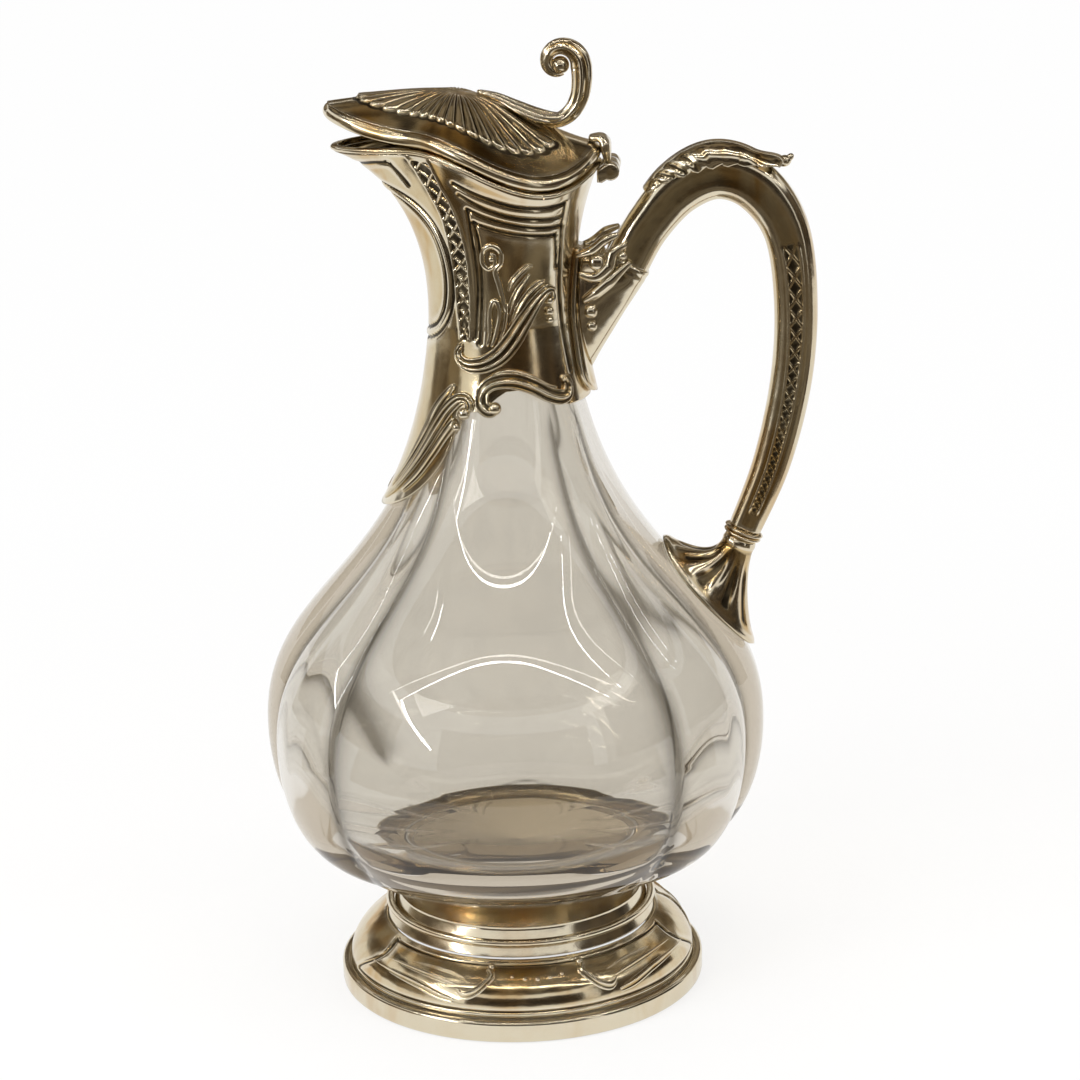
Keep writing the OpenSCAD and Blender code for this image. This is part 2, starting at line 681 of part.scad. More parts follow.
// Lid surface: share runs from the highest point to the edge, drop lowers the inside
fan_columns = 2 * fan_blades;
function lid_angle(i) = let (u = 360 * i / fan_columns) u - spout_crowd * sin(u);
function lid_edge(angle, inset) =
    let (w = spout_share(angle))
    polar(
        lip_radius(angle) + beak_reach * w + rim_out - lid_set - inset, angle,
        lip_height(angle) + lid_gap + beak_gap * pow(w, 1.4) + lid_rim_h + seat_gap
    );
function dome_share(share, angle) =
    mix(
        0.5 * (1 - pow(share, 1.2)) + 0.25 * (1 + cos(180 * share)),
        1 - pow(share, 2.2), (1 + cos(angle)) / 2
    );
apex_share = 0.02;
function lid_point(angle, share, inset) =
    let (e = lid_edge(angle, inset), rise = share > apex_share ? dome_share(share, angle) : 1)
    [mix(-lid_top_x, e[0], share), mix(0, e[1], share), mix(e[2], lid_top_z, rise)];
fan_end = 0.7;
function fan_rise(i, share) =
    let (back = smooth((abs(lid_angle(i) - 180) - 24) / 20))
    share > fan_end ? 0 : back * (0.25 + fan_depth * (i % 2)) * clamp((share - apex_share) / 0.25);
function lid_row(share) = [
    for (i = [0:fan_columns - 1])
    lid_point(lid_angle(i), share, 0) + [0, 0, fan_rise(i, share)]
];
function lid_inner_row(share) = [
    for (i = [0:fan_columns - 1])
    lid_point(lid_angle(i), share, rim_w - lid_set + 0.2) - [0, 0, share > 0.99 ? 0 : lid_wall]
];
module lid_dome() {
    color(silver) skin(concat(
        [for (s = [apex_share, 0.12, 0.3, 0.5, fan_end, fan_end + 0.02, 0.86, 1]) lid_row(s)],
        [for (s = [1, 0.75, 0.4, apex_share]) lid_inner_row(s)]
    ), flip = true);
}

// Thumbpiece: a stem that leaves the lid near the hinge and curls back in a spiral
scroll_mid = [18, 0, lid_top_z + 7.4];
scroll_turn = 290;
function lid_z(x) = let (share = (x + lid_top_x) / (lip_r + lid_top_x)) lid_point(180, share, 0)[2];
function scroll_point(angle) =
    let (r = scroll_r * exp(-0.0032 * angle))
    [scroll_mid[0] + r * cos(angle), r * 0.54, scroll_mid[2] + r * sin(angle)];
thumb_stem = [
    [0, 1.1, lid_z(0) + 1.5], [6, 1.6, lid_z(6) + 2.0], [12, 2.1, lid_z(12) + 2.6],
    [17, 2.7, lid_z(17) + 4.4], [21.5, 3.1, lid_top_z - 6.6], [24, 3.3, lid_top_z - 1.6]
];
thumb_rows = concat(
    [for (i = [0:10]) spline(thumb_stem, 5 * i / 10.5)],
    [for (i = [-1:13]) scroll_point(scroll_turn * i / 13)]
);
module thumbpiece() {
    n = len(thumb_rows) - 1;
    color(silver) skin([
        for (i = [0:n])
        let (
            q = thumb_rows[i],
            b = thumb_rows[max(0, i - 1)],
            c = thumb_rows[min(n, i + 1)],
            way = unit([c[0] - b[0], 0, c[2] - b[2]]),
            out = [-way[2], 0, way[0]],
            wide = i < 9 ? mix(1.9, 1.15, i / 9) : 1.15
        )
        [
            for (k = [0:9])
            [q[0], 0, q[2]] + out * q[1] * cos(36 * k) + [0, wide * q[1] * sin(36 * k), 0]
        ]
    ], flip = true);
    color(silver) translate(scroll_mid) sphere(r = 1.6, $fn = 24);
}

// Hinge
pin_r = pin_d / 2;
knuckle_r = knuckle_d / 2;
bore_r = pin_r + pin_clearance;
hinge_x = lip_r + rim_out + knuckle_r + 0.3;
hinge_z = lip_height(180) - knuckle_r - 0.1;
side_gap = 0.2;
module knuckle(width, from) {
    translate([hinge_x, from, hinge_z]) rotate([-90, 0, 0]) cylinder(r = knuckle_r, h = width, $fn = 48);
}
module pin_bore() {
    translate([hinge_x, -30, hinge_z]) rotate([-90, 0, 0]) cylinder(r = bore_r, h = 60, $fn = 48);
}
module lid_leaf() {
    w = mid_knuckle_w;
    face = lip_r + rim_out + 0.3;
    tab_t = 1.2;
    high = lip_height(180) + lid_gap + lid_rim_h + 4 * seat_gap;
    color(silver) difference() {
        union() {
            knuckle(w, -w / 2);
            translate([face, -w / 2, hinge_z]) cube([knuckle_r, w, high + tab_t - hinge_z]);
            translate([face - 3.5, -w / 2, high]) cube([3.5 + knuckle_r, w, tab_t]);
        }
        pin_bore();
    }
}
module hinge_ears() {
    from = mid_knuckle_w / 2 + side_gap;
    wall = collar_outer(180, hinge_z) + seat_gap;
    color(silver) difference() {
        for (s = [0, 1]) mirror([0, s, 0]) {
            knuckle(ear_w, from);
            translate([wall, from, hinge_z - 3.4]) cube([hinge_x - wall, ear_w, 3.4]);
        }
        pin_bore();
    }
}
module hinge_pin() {
    len = mid_knuckle_w + 2 * side_gap + 2 * ear_w + 1;
    color(silver) translate([hinge_x, -len / 2, hinge_z]) rotate([-90, 0, 0]) cylinder(r = pin_r, h = len, $fn = 48);
}

// Swirls on the foot's dome
function dome_point(angle, r, rise) = polar(r + rise * 0.5, angle, dome_height(r) + seat_gap + rise);
module foot_spray() {
    steps = 10;
    points = [
        [-4, foot_r - 7.4, 1.2, 0.9], [1, foot_r - 5.4, 1.5, 1.2], [7, foot_r - 5.6, 1.6, 1.3],
        [13, foot_r - 8, 1.6, 1.2], [24, foot_r - 9.4, 1.4, 1.0], [38, foot_r - 9, 0.8, 0.6]
    ];
    skin([
        for (i = [0:steps])
        let (
            u = (len(points) - 1) * i / steps,
            q = spline(points, u),
            b = spline(points, max(0, u - 0.1)),
            c = spline(points, min(len(points) - 1, u + 0.1)),
            way = unit(dome_point(c[0], c[1], 0) - dome_point(b[0], b[1], 0)),
            here = dome_point(q[0], q[1], 0),
            side = unit(cross(way, [here[0], here[1], norm([here[0], here[1]])]))
        )
        [
            for (k = [0:4])
            let (v = here + side * q[2] * cos(45 * k))
            dome_point(atan2(-v[1], -v[0]), norm([v[0], v[1]]), q[3] * sin(45 * k))
        ]
    ], flip = true);
}
module foot_sprays() {
    color(silver) for (s = [0, 1], m = [0, 1])
        mirror([0, s, 0]) mirror([m, 0, 0]) rotate(100) foot_spray();
}

glass_body();
foot_rim();
foot_dome();
foot_sprays();
foot_cup();
foot_bead();
foot_cement();
neck_collar();
collar_lip_wire();
collar_cement();
border_scroll_near();
border_scroll_far();
side_spray_near();
side_spray_far();
front_leaf_near();
front_leaf_far();
handle_strap();
handle_socket();
handle_grip();
handle_leaf();
handle_ferrule();
handle_terminal();
terminal_cement();
lid_dome();
lid_rim();
lid_bezel();
thumbpiece();
lid_leaf();
hinge_ears();
hinge_pin();
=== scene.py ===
"""Claret jug with a lobed glass body, silver-plated mounts and a hinged lid, dressed for rendering.

Every shape is a surface of two parameters, worked out in millimetres and put into its mesh in metres.
Angles round the jug are counted from the spout, at -X, towards the side at -Y.
"""

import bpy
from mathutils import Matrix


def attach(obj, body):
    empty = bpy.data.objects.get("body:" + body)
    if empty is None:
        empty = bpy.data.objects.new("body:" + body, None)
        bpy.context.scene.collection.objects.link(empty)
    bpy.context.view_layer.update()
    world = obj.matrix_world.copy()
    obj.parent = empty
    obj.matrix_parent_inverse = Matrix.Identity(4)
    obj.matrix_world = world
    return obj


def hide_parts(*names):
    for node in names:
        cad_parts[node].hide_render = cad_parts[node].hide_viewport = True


bl_info = {
    "name": "Claret Jug",
    "version": (1, 0, 0),
    "blender": (4, 5, 0),
    "location": "View3D > Sidebar > Claret Jug",
    "description": "Builds a glass claret jug with chased silver-plated mounts",
    "category": "Add Mesh",
}

import bpy
import numpy as np
from bpy.props import FloatProperty, FloatVectorProperty, IntProperty, PointerProperty
from mathutils import Matrix, Vector

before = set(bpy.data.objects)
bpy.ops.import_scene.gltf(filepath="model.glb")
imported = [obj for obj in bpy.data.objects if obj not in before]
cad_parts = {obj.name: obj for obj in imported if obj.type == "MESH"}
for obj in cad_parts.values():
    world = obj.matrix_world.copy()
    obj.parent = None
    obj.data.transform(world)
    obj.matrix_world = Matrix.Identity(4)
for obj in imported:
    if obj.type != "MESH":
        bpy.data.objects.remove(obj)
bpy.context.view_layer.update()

# All sizes below are in millimetres, and MM turns them into metres
MM = 0.001
GAP = 0.25  # room between two soldered pieces
GROOVE = 4.2  # depth of the glass's grooves
HINGE = (32.3, 247.75)  # x and z of the hinge's axis


# ---------------------------------------------------------------- settings
class GlassSettings(bpy.types.PropertyGroup):
    """Sizes and colour of the blown glass body."""

    wall: FloatProperty(name="Wall", description="Thickness of the glass, mm", default=3.2)
    groove: FloatProperty(name="Groove", description="Depth of the grooves, mm", default=GROOVE)
    ior: FloatProperty(name="IOR", description="Refractive index", default=1.5)
    tint: FloatVectorProperty(
        name="Tint", description="Colour that the glass takes with depth", subtype="COLOR",
        size=3, default=(0.62, 0.56, 0.48), min=0, max=1,
    )
    density: FloatProperty(name="Density", description="Strength of the tint per metre", default=6.0)


class SilverSettings(bpy.types.PropertyGroup):
    """Colours and relief of the plated mounts."""

    clean: FloatVectorProperty(
        name="Clean", description="Colour of the polished plate", subtype="COLOR",
        size=3, default=(0.62, 0.525, 0.345), min=0, max=1,
    )
    warm: FloatVectorProperty(
        name="Warm", description="Colour of the yellowed patches", subtype="COLOR",
        size=3, default=(0.50, 0.31, 0.10), min=0, max=1,
    )
    recess: FloatVectorProperty(
        name="Recess", description="Colour of the tarnish left in the recesses", subtype="COLOR",
        size=3, default=(0.05, 0.038, 0.022), min=0, max=1,
    )
    roughness: FloatProperty(name="Roughness", description="Roughness of the polished plate", default=0.13)
    chasing: FloatProperty(name="Chasing", description="Depth of the engraved lines, mm", default=0.38)
    blades: IntProperty(name="Blades", description="Number of blades in the lid's fan", default=40)


class StudioSettings(bpy.types.PropertyGroup):
    """Floor, lamps and camera."""

    azimuth: FloatProperty(
        name="Azimuth", description="Turn of the camera to the handle's side, degrees", default=4.0,
    )
    distance: FloatProperty(
        name="Distance", description="Camera's level distance from the jug", unit="LENGTH", default=0.95,
    )
    height: FloatProperty(name="Height", description="Camera's height", unit="LENGTH", default=0.42098)
    lens: FloatProperty(name="Lens", description="Focal length on a 36 mm frame, mm", default=111.845)
    floor: FloatVectorProperty(
        name="Floor", description="Colour of the floor", subtype="COLOR",
        size=3, default=(0.86, 0.86, 0.86), min=0, max=1,
    )
    key: FloatProperty(name="Key", description="Power of the key lamp, W", default=9.0)


# ---------------------------------------------------------------- numbers
def mix(a, b, t):
    """a plus t times the way to b."""
    return a + (b - a) * t


def smooth(t):
    """Smooth step: 3 t squared minus 2 t cubed, on t held between 0 and 1."""
    t = np.clip(t, 0, 1)
    return t * t * (3 - 2 * t)


def bezier(p, t):
    """Cubic Bezier curve of the four points or numbers p at t."""
    return (1 - t) ** 3 * p[0] + 3 * (1 - t) ** 2 * t * p[1] + 3 * (1 - t) * t * t * p[2] + t**3 * p[3]


def profile(points, steps, first=0):
    """Points of a cubic Bezier curve in radius and height, from step first to steps."""
    t = np.arange(first, steps + 1)[:, None] / steps
    return bezier([np.array(p, float) for p in points], t)


def polar(r, angle, z):
    """Point at radius r and height z, angle degrees from the spout."""
    r, angle, z = np.broadcast_arrays(r, np.radians(angle), z)
    return np.stack([-r * np.cos(angle), -r * np.sin(angle), z], -1)


def between(a, b, c, d, t):
    """Cubic curve from b to c at t, whose slopes at b and c follow the neighbours a and d."""
    return 0.5 * (2 * b + (c - a) * t + (2 * a - 5 * b + 4 * c - d) * t**2 + (3 * b - a - 3 * c + d) * t**3)


def spline(points, u):
    """Smooth curve of cubics through the rows of points; u counts points."""
    p = np.asarray(points, float)
    n = len(p) - 1
    i = np.clip(np.floor(u).astype(int), 0, n - 1)
    t = (u - i)[:, None]
    return between(p[np.maximum(i - 1, 0)], p[i], p[i + 1], p[np.minimum(i + 2, n)], t)


def unit(v):
    """v scaled to length one along its last axis."""
    return v / np.maximum(np.linalg.norm(v, axis=-1, keepdims=True), 1e-9)


def along(points):
    """Unit direction of a row of points at each of them."""
    return unit(np.gradient(points, axis=0))


def bell(distance, width):
    """Bell curve: e to the power of minus the square of distance over width."""
    return np.exp(-((distance / width) ** 2))


def turn_steps(count, whole=360):
    """Equal steps round a whole turn, in degrees unless whole gives another measure."""
    return np.arange(count) * whole / count


# ---------------------------------------------------------------- meshes
def closed(grid, wrap_rows=False):
    """Triangles of a grid whose columns close; its rows close too, or its end rows are filled to their middles."""
    if not wrap_rows:
        ends = [np.repeat(row.mean(0)[None, None], grid.shape[1], 1) for row in (grid[0], grid[-1])]
        grid = np.concatenate([ends[0], grid, ends[1]])
    n, m = grid.shape[:2]
    index = np.arange(n * m).reshape(n, m)
    index = np.hstack([index, index[:, :1]])
    if wrap_rows:
        index = np.vstack([index, index[:1]])
    a, b, c, d = index[:-1, :-1], index[:-1, 1:], index[1:, 1:], index[1:, :-1]
    faces = np.concatenate([np.stack([a, b, c], -1).reshape(-1, 3), np.stack([a, c, d], -1).reshape(-1, 3)])
    points = grid.reshape(-1, 3)
    v = points[faces]
    if np.einsum("ij,ij->i", v[:, 0], np.cross(v[:, 1], v[:, 2])).sum() < 0:
        faces = faces[:, ::-1]
    return points, faces


def relief_of(points, faces, passes):
    """Hollowness of each point: how far the average of its surroundings lies outside it, in mm."""
    edge = np.concatenate([faces[:, [0, 1]], faces[:, [1, 2]], faces[:, [2, 0]]])
    count = np.maximum(np.bincount(edge[:, 0], minlength=len(points)), 1)
    v = points[faces]
    face_normal = np.cross(v[:, 1] - v[:, 0], v[:, 2] - v[:, 0])
    normal = np.zeros_like(points)
    for k in range(3):
        for axis in range(3):
            normal[:, axis] += np.bincount(faces[:, k], face_normal[:, axis], len(points))
    soft = points
    for _ in range(passes):
        soft = np.stack(
            [np.bincount(edge[:, 0], soft[edge[:, 1], k], len(points)) for k in range(3)], -1,
        ) / count[:, None]
    return ((soft - points) * unit(normal)).sum(1)


def add_object(name, data):
    """New object at the origin, put into the scene."""
    thing = bpy.data.objects.new(name, data)
    bpy.context.scene.collection.objects.link(thing)
    return thing


def piece(name, shells, body, finish, nodes, passes=10, depth=0.12, painted_light=None):
    """Mesh piece from closed shells of points and triangles, in place of the named nodes. Its recess attribute
    is the hollowness over depth, or the given painted light values, one for each point: painted shade lines
    on the glass, a painted highlight on the cup."""
    points, faces, base = [], [], 0
    for p, f in shells:
        points.append(p)
        faces.append(f + base)
        base += len(p)
    points, faces = np.concatenate(points), np.concatenate(faces)
    _, first, same = np.unique(
        np.round(points * 1e4).astype(np.int64), axis=0, return_index=True, return_inverse=True,
    )
    points, faces = points[first], same.reshape(-1)[faces]
    keep = (faces[:, 0] != faces[:, 1]) & (faces[:, 1] != faces[:, 2]) & (faces[:, 2] != faces[:, 0])
    faces = faces[keep]
    mesh = bpy.data.meshes.new(name)
    mesh.vertices.add(len(points))
    mesh.vertices.foreach_set("co", (points * MM).ravel())
    mesh.loops.add(faces.size)
    mesh.loops.foreach_set("vertex_index", faces.ravel().astype(np.int32))
    mesh.polygons.add(len(faces))
    mesh.polygons.foreach_set("loop_start", np.arange(0, faces.size, 3, dtype=np.int32))
    mesh.polygons.foreach_set("use_smooth", np.ones(len(faces), bool))
    mesh.update(calc_edges=True)
    mesh.validate()
    layer = mesh.attributes.new("recess", "FLOAT", "POINT")
    hollow = np.clip(relief_of(points, faces, passes) / depth, -1, 1) if painted_light is None else painted_light[first]
    layer.data.foreach_set("value", hollow.astype(np.float32))
    thing = add_object(name, mesh)
    mesh.materials.append(material_of(finish))
    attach(thing, body)
    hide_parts(*nodes)


def revolved(outline, columns=256):
    """Grid of an outline of radius and height turned about the jug's axis."""
    angle = turn_steps(columns)
    outline = np.asarray(outline, float)
    return polar(outline[:, :1], angle[None], outline[:, 1:])


def swept(path, out, section, side=None):
    """Grid of a section carried along a path: point plus out times section height plus side times its width."""
    side = unit(np.cross(along(path), out)) if side is None else side
    return path[:, None] + out[:, None] * section[..., 1:2] + side[:, None] * section[..., :1]


def ball(middle, radius, squash=1.0, out=(0, 0, 1), rows=18, columns=28):
    """Shell of a ball or bead: circles of radius sin t at height cos t along out, squashed along it."""
    out = unit(np.array(out, float))
    east = unit(np.cross(out, (0.3, 0.9, 0.1)))
    north = np.cross(out, east)
    t = np.linspace(0, np.pi, rows)[:, None, None]
    a = turn_steps(columns, 2 * np.pi)[None, :, None]
    ring = (np.cos(a) * east + np.sin(a) * north) * np.sin(t)
    return closed(np.array(middle) + radius * (ring + squash * np.cos(t) * out))


def tube(points, radii, rows=60, columns=20):
    """Shell of a round bar along a spline, with its own radius at each point and rounded ends."""
    u = np.linspace(0, len(points) - 1, rows)
    path = spline(points, u)
    radius = np.interp(u, np.arange(len(radii)), radii)
    end = np.minimum(np.arange(rows), np.arange(rows)[::-1]) / 3
    radius = radius * np.sqrt(np.clip(1 - (1 - np.minimum(end, 1)) ** 2, 0.02, 1))
    way = along(path)
    out = unit(np.cross(way, np.broadcast_to((0.31, 0.21, 0.93), way.shape)))
    a = turn_steps(columns, 2 * np.pi)
    section = np.stack([radius[:, None] * np.cos(a), radius[:, None] * np.sin(a)], -1)
    return closed(swept(path, out, section))


def slab(outline, start, finish, ease=0.6):
    """Shell of an outline of x and z carried along y; both ends are drawn in by a quarter circle."""
    p = np.asarray(outline, float)
    after = np.roll(p, -1, 0)
    turn = np.sign((p[:, 0] * after[:, 1] - after[:, 0] * p[:, 1]).sum())
    way = unit(after - np.roll(p, 1, 0))
    normal = turn * np.stack([way[:, 1], -way[:, 0]], -1)
    t = np.linspace(0, np.pi / 2, 6)
    inset, move = ease * (1 - np.sin(t)), ease * (1 - np.cos(t))
    flat = p - normal * np.concatenate([inset, inset[::-1]])[:, None, None]
    y = np.concatenate([start + move, finish - move[::-1]])
    return closed(np.stack([flat[..., 0], y[:, None] + 0 * flat[..., 0], flat[..., 1]], -1))


# ---------------------------------------------------------------- finishes
def node_group(name, inputs, outputs):
    """Empty shader group with the named inputs and outputs."""
    group = bpy.data.node_groups.new(name, "ShaderNodeTree")
    for label, kind, value in inputs:
        socket = group.interface.new_socket(label, in_out="INPUT", socket_type=kind)
        if value is not None:
            socket.default_value = value
    for label, kind in outputs:
        group.interface.new_socket(label, in_out="OUTPUT", socket_type=kind)
    return group, group.nodes.new("NodeGroupInput"), group.nodes.new("NodeGroupOutput")


def feed(tree, socket, value):
    """Gives a socket a plain value, or links it to another node's output."""
    if isinstance(value, (int, float, tuple)):
        socket.default_value = value
    else:
        tree.links.new(value, socket)


def math_node(tree, operation, a, b, clamp=False):
    """Math node on two sockets or numbers."""
    node = tree.nodes.new("ShaderNodeMath")
    node.operation, node.use_clamp = operation, clamp
    feed(tree, node.inputs[0], a)
    feed(tree, node.inputs[1], b)
    return node.outputs[0]


def blend_colour(tree, factor, a, b):
    """Mix node on two colours."""
    node = tree.nodes.new("ShaderNodeMix")
    node.data_type = "RGBA"
    for index, value in ((0, factor), (6, a), (7, b)):
        feed(tree, node.inputs[index], value)
    return node.outputs[2]


def noise(tree, vector, scale, detail=3.0, roughness=0.5, distortion=0.0):
    """Noise texture's value at a vector."""
    node = tree.nodes.new("ShaderNodeTexNoise")
    tree.links.new(vector, node.inputs["Vector"])
    for label, value in (("Scale", scale), ("Detail", detail), ("Roughness", roughness), ("Distortion", distortion)):
        node.inputs[label].default_value = value
    return node.outputs["Fac"]


def span(tree, value, low, high, to_low=0.0, to_high=1.0):
    """Map Range node, clamped, with a smooth step."""
    node = tree.nodes.new("ShaderNodeMapRange")
    node.interpolation_type = "SMOOTHSTEP"
    tree.links.new(value, node.inputs["Value"])
    for label, number in (("From Min", low), ("From Max", high), ("To Min", to_low), ("To Max", to_high)):
        node.inputs[label].default_value = number
    return node.outputs["Result"]


def add_bump(tree, shader, height, strength, distance):
    """Bump node from a height to the shader's normal."""
    bump = tree.nodes.new("ShaderNodeBump")
    bump.inputs["Strength"].default_value = strength
    bump.inputs["Distance"].default_value = distance
    tree.links.new(height, bump.inputs["Height"])
    tree.links.new(bump.outputs["Normal"], shader.inputs["Normal"])


def mix_shaders(tree, factor, first, second, output="Material Output"):
    """Mix Shader node of two shaders, sent to the output's surface."""
    mixer = tree.nodes.new("ShaderNodeMixShader")
    for value, socket in zip((factor, first.outputs[0], second.outputs[0]), mixer.inputs):
        tree.links.new(value, socket)
    tree.links.new(mixer.outputs[0], tree.nodes[output].inputs["Surface"])


def recess_and_painted_light(tree):
    """The piece's own recess attribute: 1 in hollows and on painted shade lines, below 0 on ridges and where a
    painted highlight is set.
    """
    node = tree.nodes.new("ShaderNodeAttribute")
    node.attribute_name = "recess"
    return node.outputs["Fac"]


def aged_plate_group():
    """Group: polished plate with warm patches, dark tarnish in hollows, a painted highlight on ridges, smudges and
    faint polishing waves.
    """
    colour, number = "NodeSocketColor", "NodeSocketFloat"
    tree, given, made = node_group(
        "Aged Plate",
        [("Vector", "NodeSocketVector", None), ("Recess", number, 0.0), ("Clean", colour, (0.6, 0.55, 0.43, 1)),
         ("Warm", colour, (0.5, 0.38, 0.2, 1)), ("Tarnish", colour, (0.07, 0.05, 0.03, 1)),
         ("Patches", number, 0.5), ("Polish", number, 0.13)],
        [("Color", colour), ("Roughness", number), ("Height", number)],
    )
    vector = given.outputs["Vector"]
    drawn = tree.nodes.new("ShaderNodeVectorMath")
    drawn.operation = "MULTIPLY"
    drawn.inputs[1].default_value = (1.0, 1.0, 0.35)
    tree.links.new(vector, drawn.inputs[0])
    patch = noise(tree, drawn.outputs[0], 48.0, 3.0, 0.55, 0.8)
    patch = math_node(tree, "MULTIPLY", span(tree, patch, 0.47, 0.68), given.outputs["Patches"])
    base = blend_colour(tree, patch, given.outputs["Clean"], given.outputs["Warm"])
    cloud = noise(tree, vector, 120.0, 4.0, 0.6)
    base = blend_colour(tree, span(tree, cloud, 0.35, 0.75, 0.0, 0.28), base, given.outputs["Warm"])
    hollow = span(tree, given.outputs["Recess"], 0.06, 0.75)
    grime = math_node(tree, "MULTIPLY", hollow, span(tree, cloud, 0.2, 0.6, 0.65, 1.0), clamp=True)
    base = blend_colour(tree, grime, base, given.outputs["Tarnish"])
    # Painted highlight: convex ridges, where the recess is below 0, are lightened towards a pale colour brighter than
    # the clean plate.
    painted_ridge_highlight = math_node(tree, "MULTIPLY", span(tree, given.outputs["Recess"], -0.7, -0.1, 1.0, 0.0), 0.5)
    base = blend_colour(tree, painted_ridge_highlight, base, (0.80, 0.75, 0.63, 1))
    tree.links.new(base, made.inputs["Color"])
    smudge = noise(tree, vector, 60.0, 5.0, 0.65, 0.4)
    rough = math_node(tree, "ADD", given.outputs["Polish"], span(tree, smudge, 0.4, 0.75, 0.0, 0.10))
    rough = math_node(tree, "ADD", rough, math_node(tree, "MULTIPLY", grime, 0.25), clamp=True)
    tree.links.new(rough, made.inputs["Roughness"])
    wave = noise(tree, vector, 90.0, 2.0, 0.5)
    pits = noise(tree, vector, 900.0, 2.0, 0.6)
    height = math_node(tree, "ADD", wave, math_node(tree, "MULTIPLY", pits, 0.05))
    tree.links.new(height, made.inputs["Height"])
    return tree


def new_material(name):
    """Empty node material, and its Principled shader."""
    material = bpy.data.materials.new(name)
    material.use_nodes = True
    return material, material.node_tree, material.node_tree.nodes["Principled BSDF"]


def object_place(tree, middle=(0, 0, 0)):
    """Object coordinates, centred by a Mapping node."""
    place = tree.nodes.new("ShaderNodeTexCoord")
    mapping = tree.nodes.new("ShaderNodeMapping")
    mapping.inputs["Location"].default_value = middle
    tree.links.new(place.outputs["Object"], mapping.inputs["Vector"])
    return mapping.outputs["Vector"]


def silver(name):
    """Aged silver plate: warm, polished metal with tarnish in its hollows and a painted highlight on its ridges."""
    look = bpy.context.scene.jug_silver
    material, tree, shader = new_material(name)
    plate = tree.nodes.new("ShaderNodeGroup")
    plate.node_tree = aged_plate_group()
    tree.links.new(object_place(tree, (0.0, 0.0, -0.14)), plate.inputs["Vector"])
    tree.links.new(recess_and_painted_light(tree), plate.inputs["Recess"])
    for label, value in (("Clean", look.clean), ("Warm", look.warm), ("Tarnish", look.recess)):
        plate.inputs[label].default_value = (*value, 1)
    plate.inputs["Patches"].default_value = 1.0
    plate.inputs["Polish"].default_value = look.roughness
    shader.inputs["Metallic"].default_value = 1.0
    tree.links.new(plate.outputs["Color"], shader.inputs["Base Color"])
    tree.links.new(plate.outputs["Roughness"], shader.inputs["Roughness"])
    add_bump(tree, shader, plate.outputs["Height"], 0.12, 0.002)
    return material


def glass(name):
    """Clear glass with a faint warm grey body tint, slight waves of blown glass and painted shade lines that stand in
    for the dark edges that refraction draws along its grooves and round its floor. Rays that are trapped between its
    walls, and shadow rays, pass straight through."""
    look = bpy.context.scene.jug_glass
    material, tree, shader = new_material(name)
    shader.inputs["Metallic"].default_value = 0.0
    shader.inputs["Transmission Weight"].default_value = 1.0
    shader.inputs["IOR"].default_value = look.ior
    vector = object_place(tree, (0.0, 0.0, -0.09))
    haze = noise(tree, vector, 26.0, 3.0, 0.6)
    tree.links.new(span(tree, haze, 0.35, 0.8, 0.0, 0.02), shader.inputs["Roughness"])
    tone = blend_colour(tree, span(tree, haze, 0.3, 0.7), (0.80, 0.772, 0.715, 1), (0.765, 0.737, 0.68, 1))
    # Painted shade: dark lines from the recess attribute, standing in for the dark edges that refraction draws in the
    # glass.
    line = span(tree, recess_and_painted_light(tree), 0.1, 0.9, 0.0, 0.95)
    tone = blend_colour(tree, line, tone, (0.09, 0.078, 0.06, 1))
    tree.links.new(tone, shader.inputs["Base Color"])
    add_bump(tree, shader, noise(tree, vector, 40.0, 1.0, 0.4), 0.05, 0.001)
    depth = tree.nodes.new("ShaderNodeVolumeAbsorption")
    depth.inputs["Color"].default_value = (*look.tint, 1)
    depth.inputs["Density"].default_value = look.density
    tree.links.new(depth.outputs["Volume"], tree.nodes["Material Output"].inputs["Volume"])
    clear = tree.nodes.new("ShaderNodeBsdfTransparent")
    clear.inputs["Color"].default_value = (0.86, 0.83, 0.78, 1)
    path = tree.nodes.new("ShaderNodeLightPath")
    trapped = math_node(tree, "GREATER_THAN", path.outputs["Glossy Depth"], 1.5)
    mix_shaders(tree, math_node(tree, "MAXIMUM", path.outputs["Is Shadow Ray"], trapped), shader, clear)
    return material


def plaster(name):
    """Matte plaster bed with fine grain."""
    material, tree, shader = new_material(name)
    grain = noise(tree, object_place(tree), 700.0, 5.0, 0.7)
    tone = blend_colour(tree, grain, (0.64, 0.605, 0.53, 1), (0.80, 0.77, 0.70, 1))
    tree.links.new(tone, shader.inputs["Base Color"])
    tree.links.new(span(tree, grain, 0.3, 0.7, 0.8, 0.95), shader.inputs["Roughness"])
    add_bump(tree, shader, grain, 0.4, 0.0003)
    return material


FINISHES = {"silver": ("silver_plate", silver), "glass": ("blown_glass", glass), "plaster": ("plaster_bed", plaster)}


def material_of(finish):
    """Material of a finish, made when it is first asked for."""
    name, make = FINISHES[finish]
    return bpy.data.materials.get(name) or make(name)


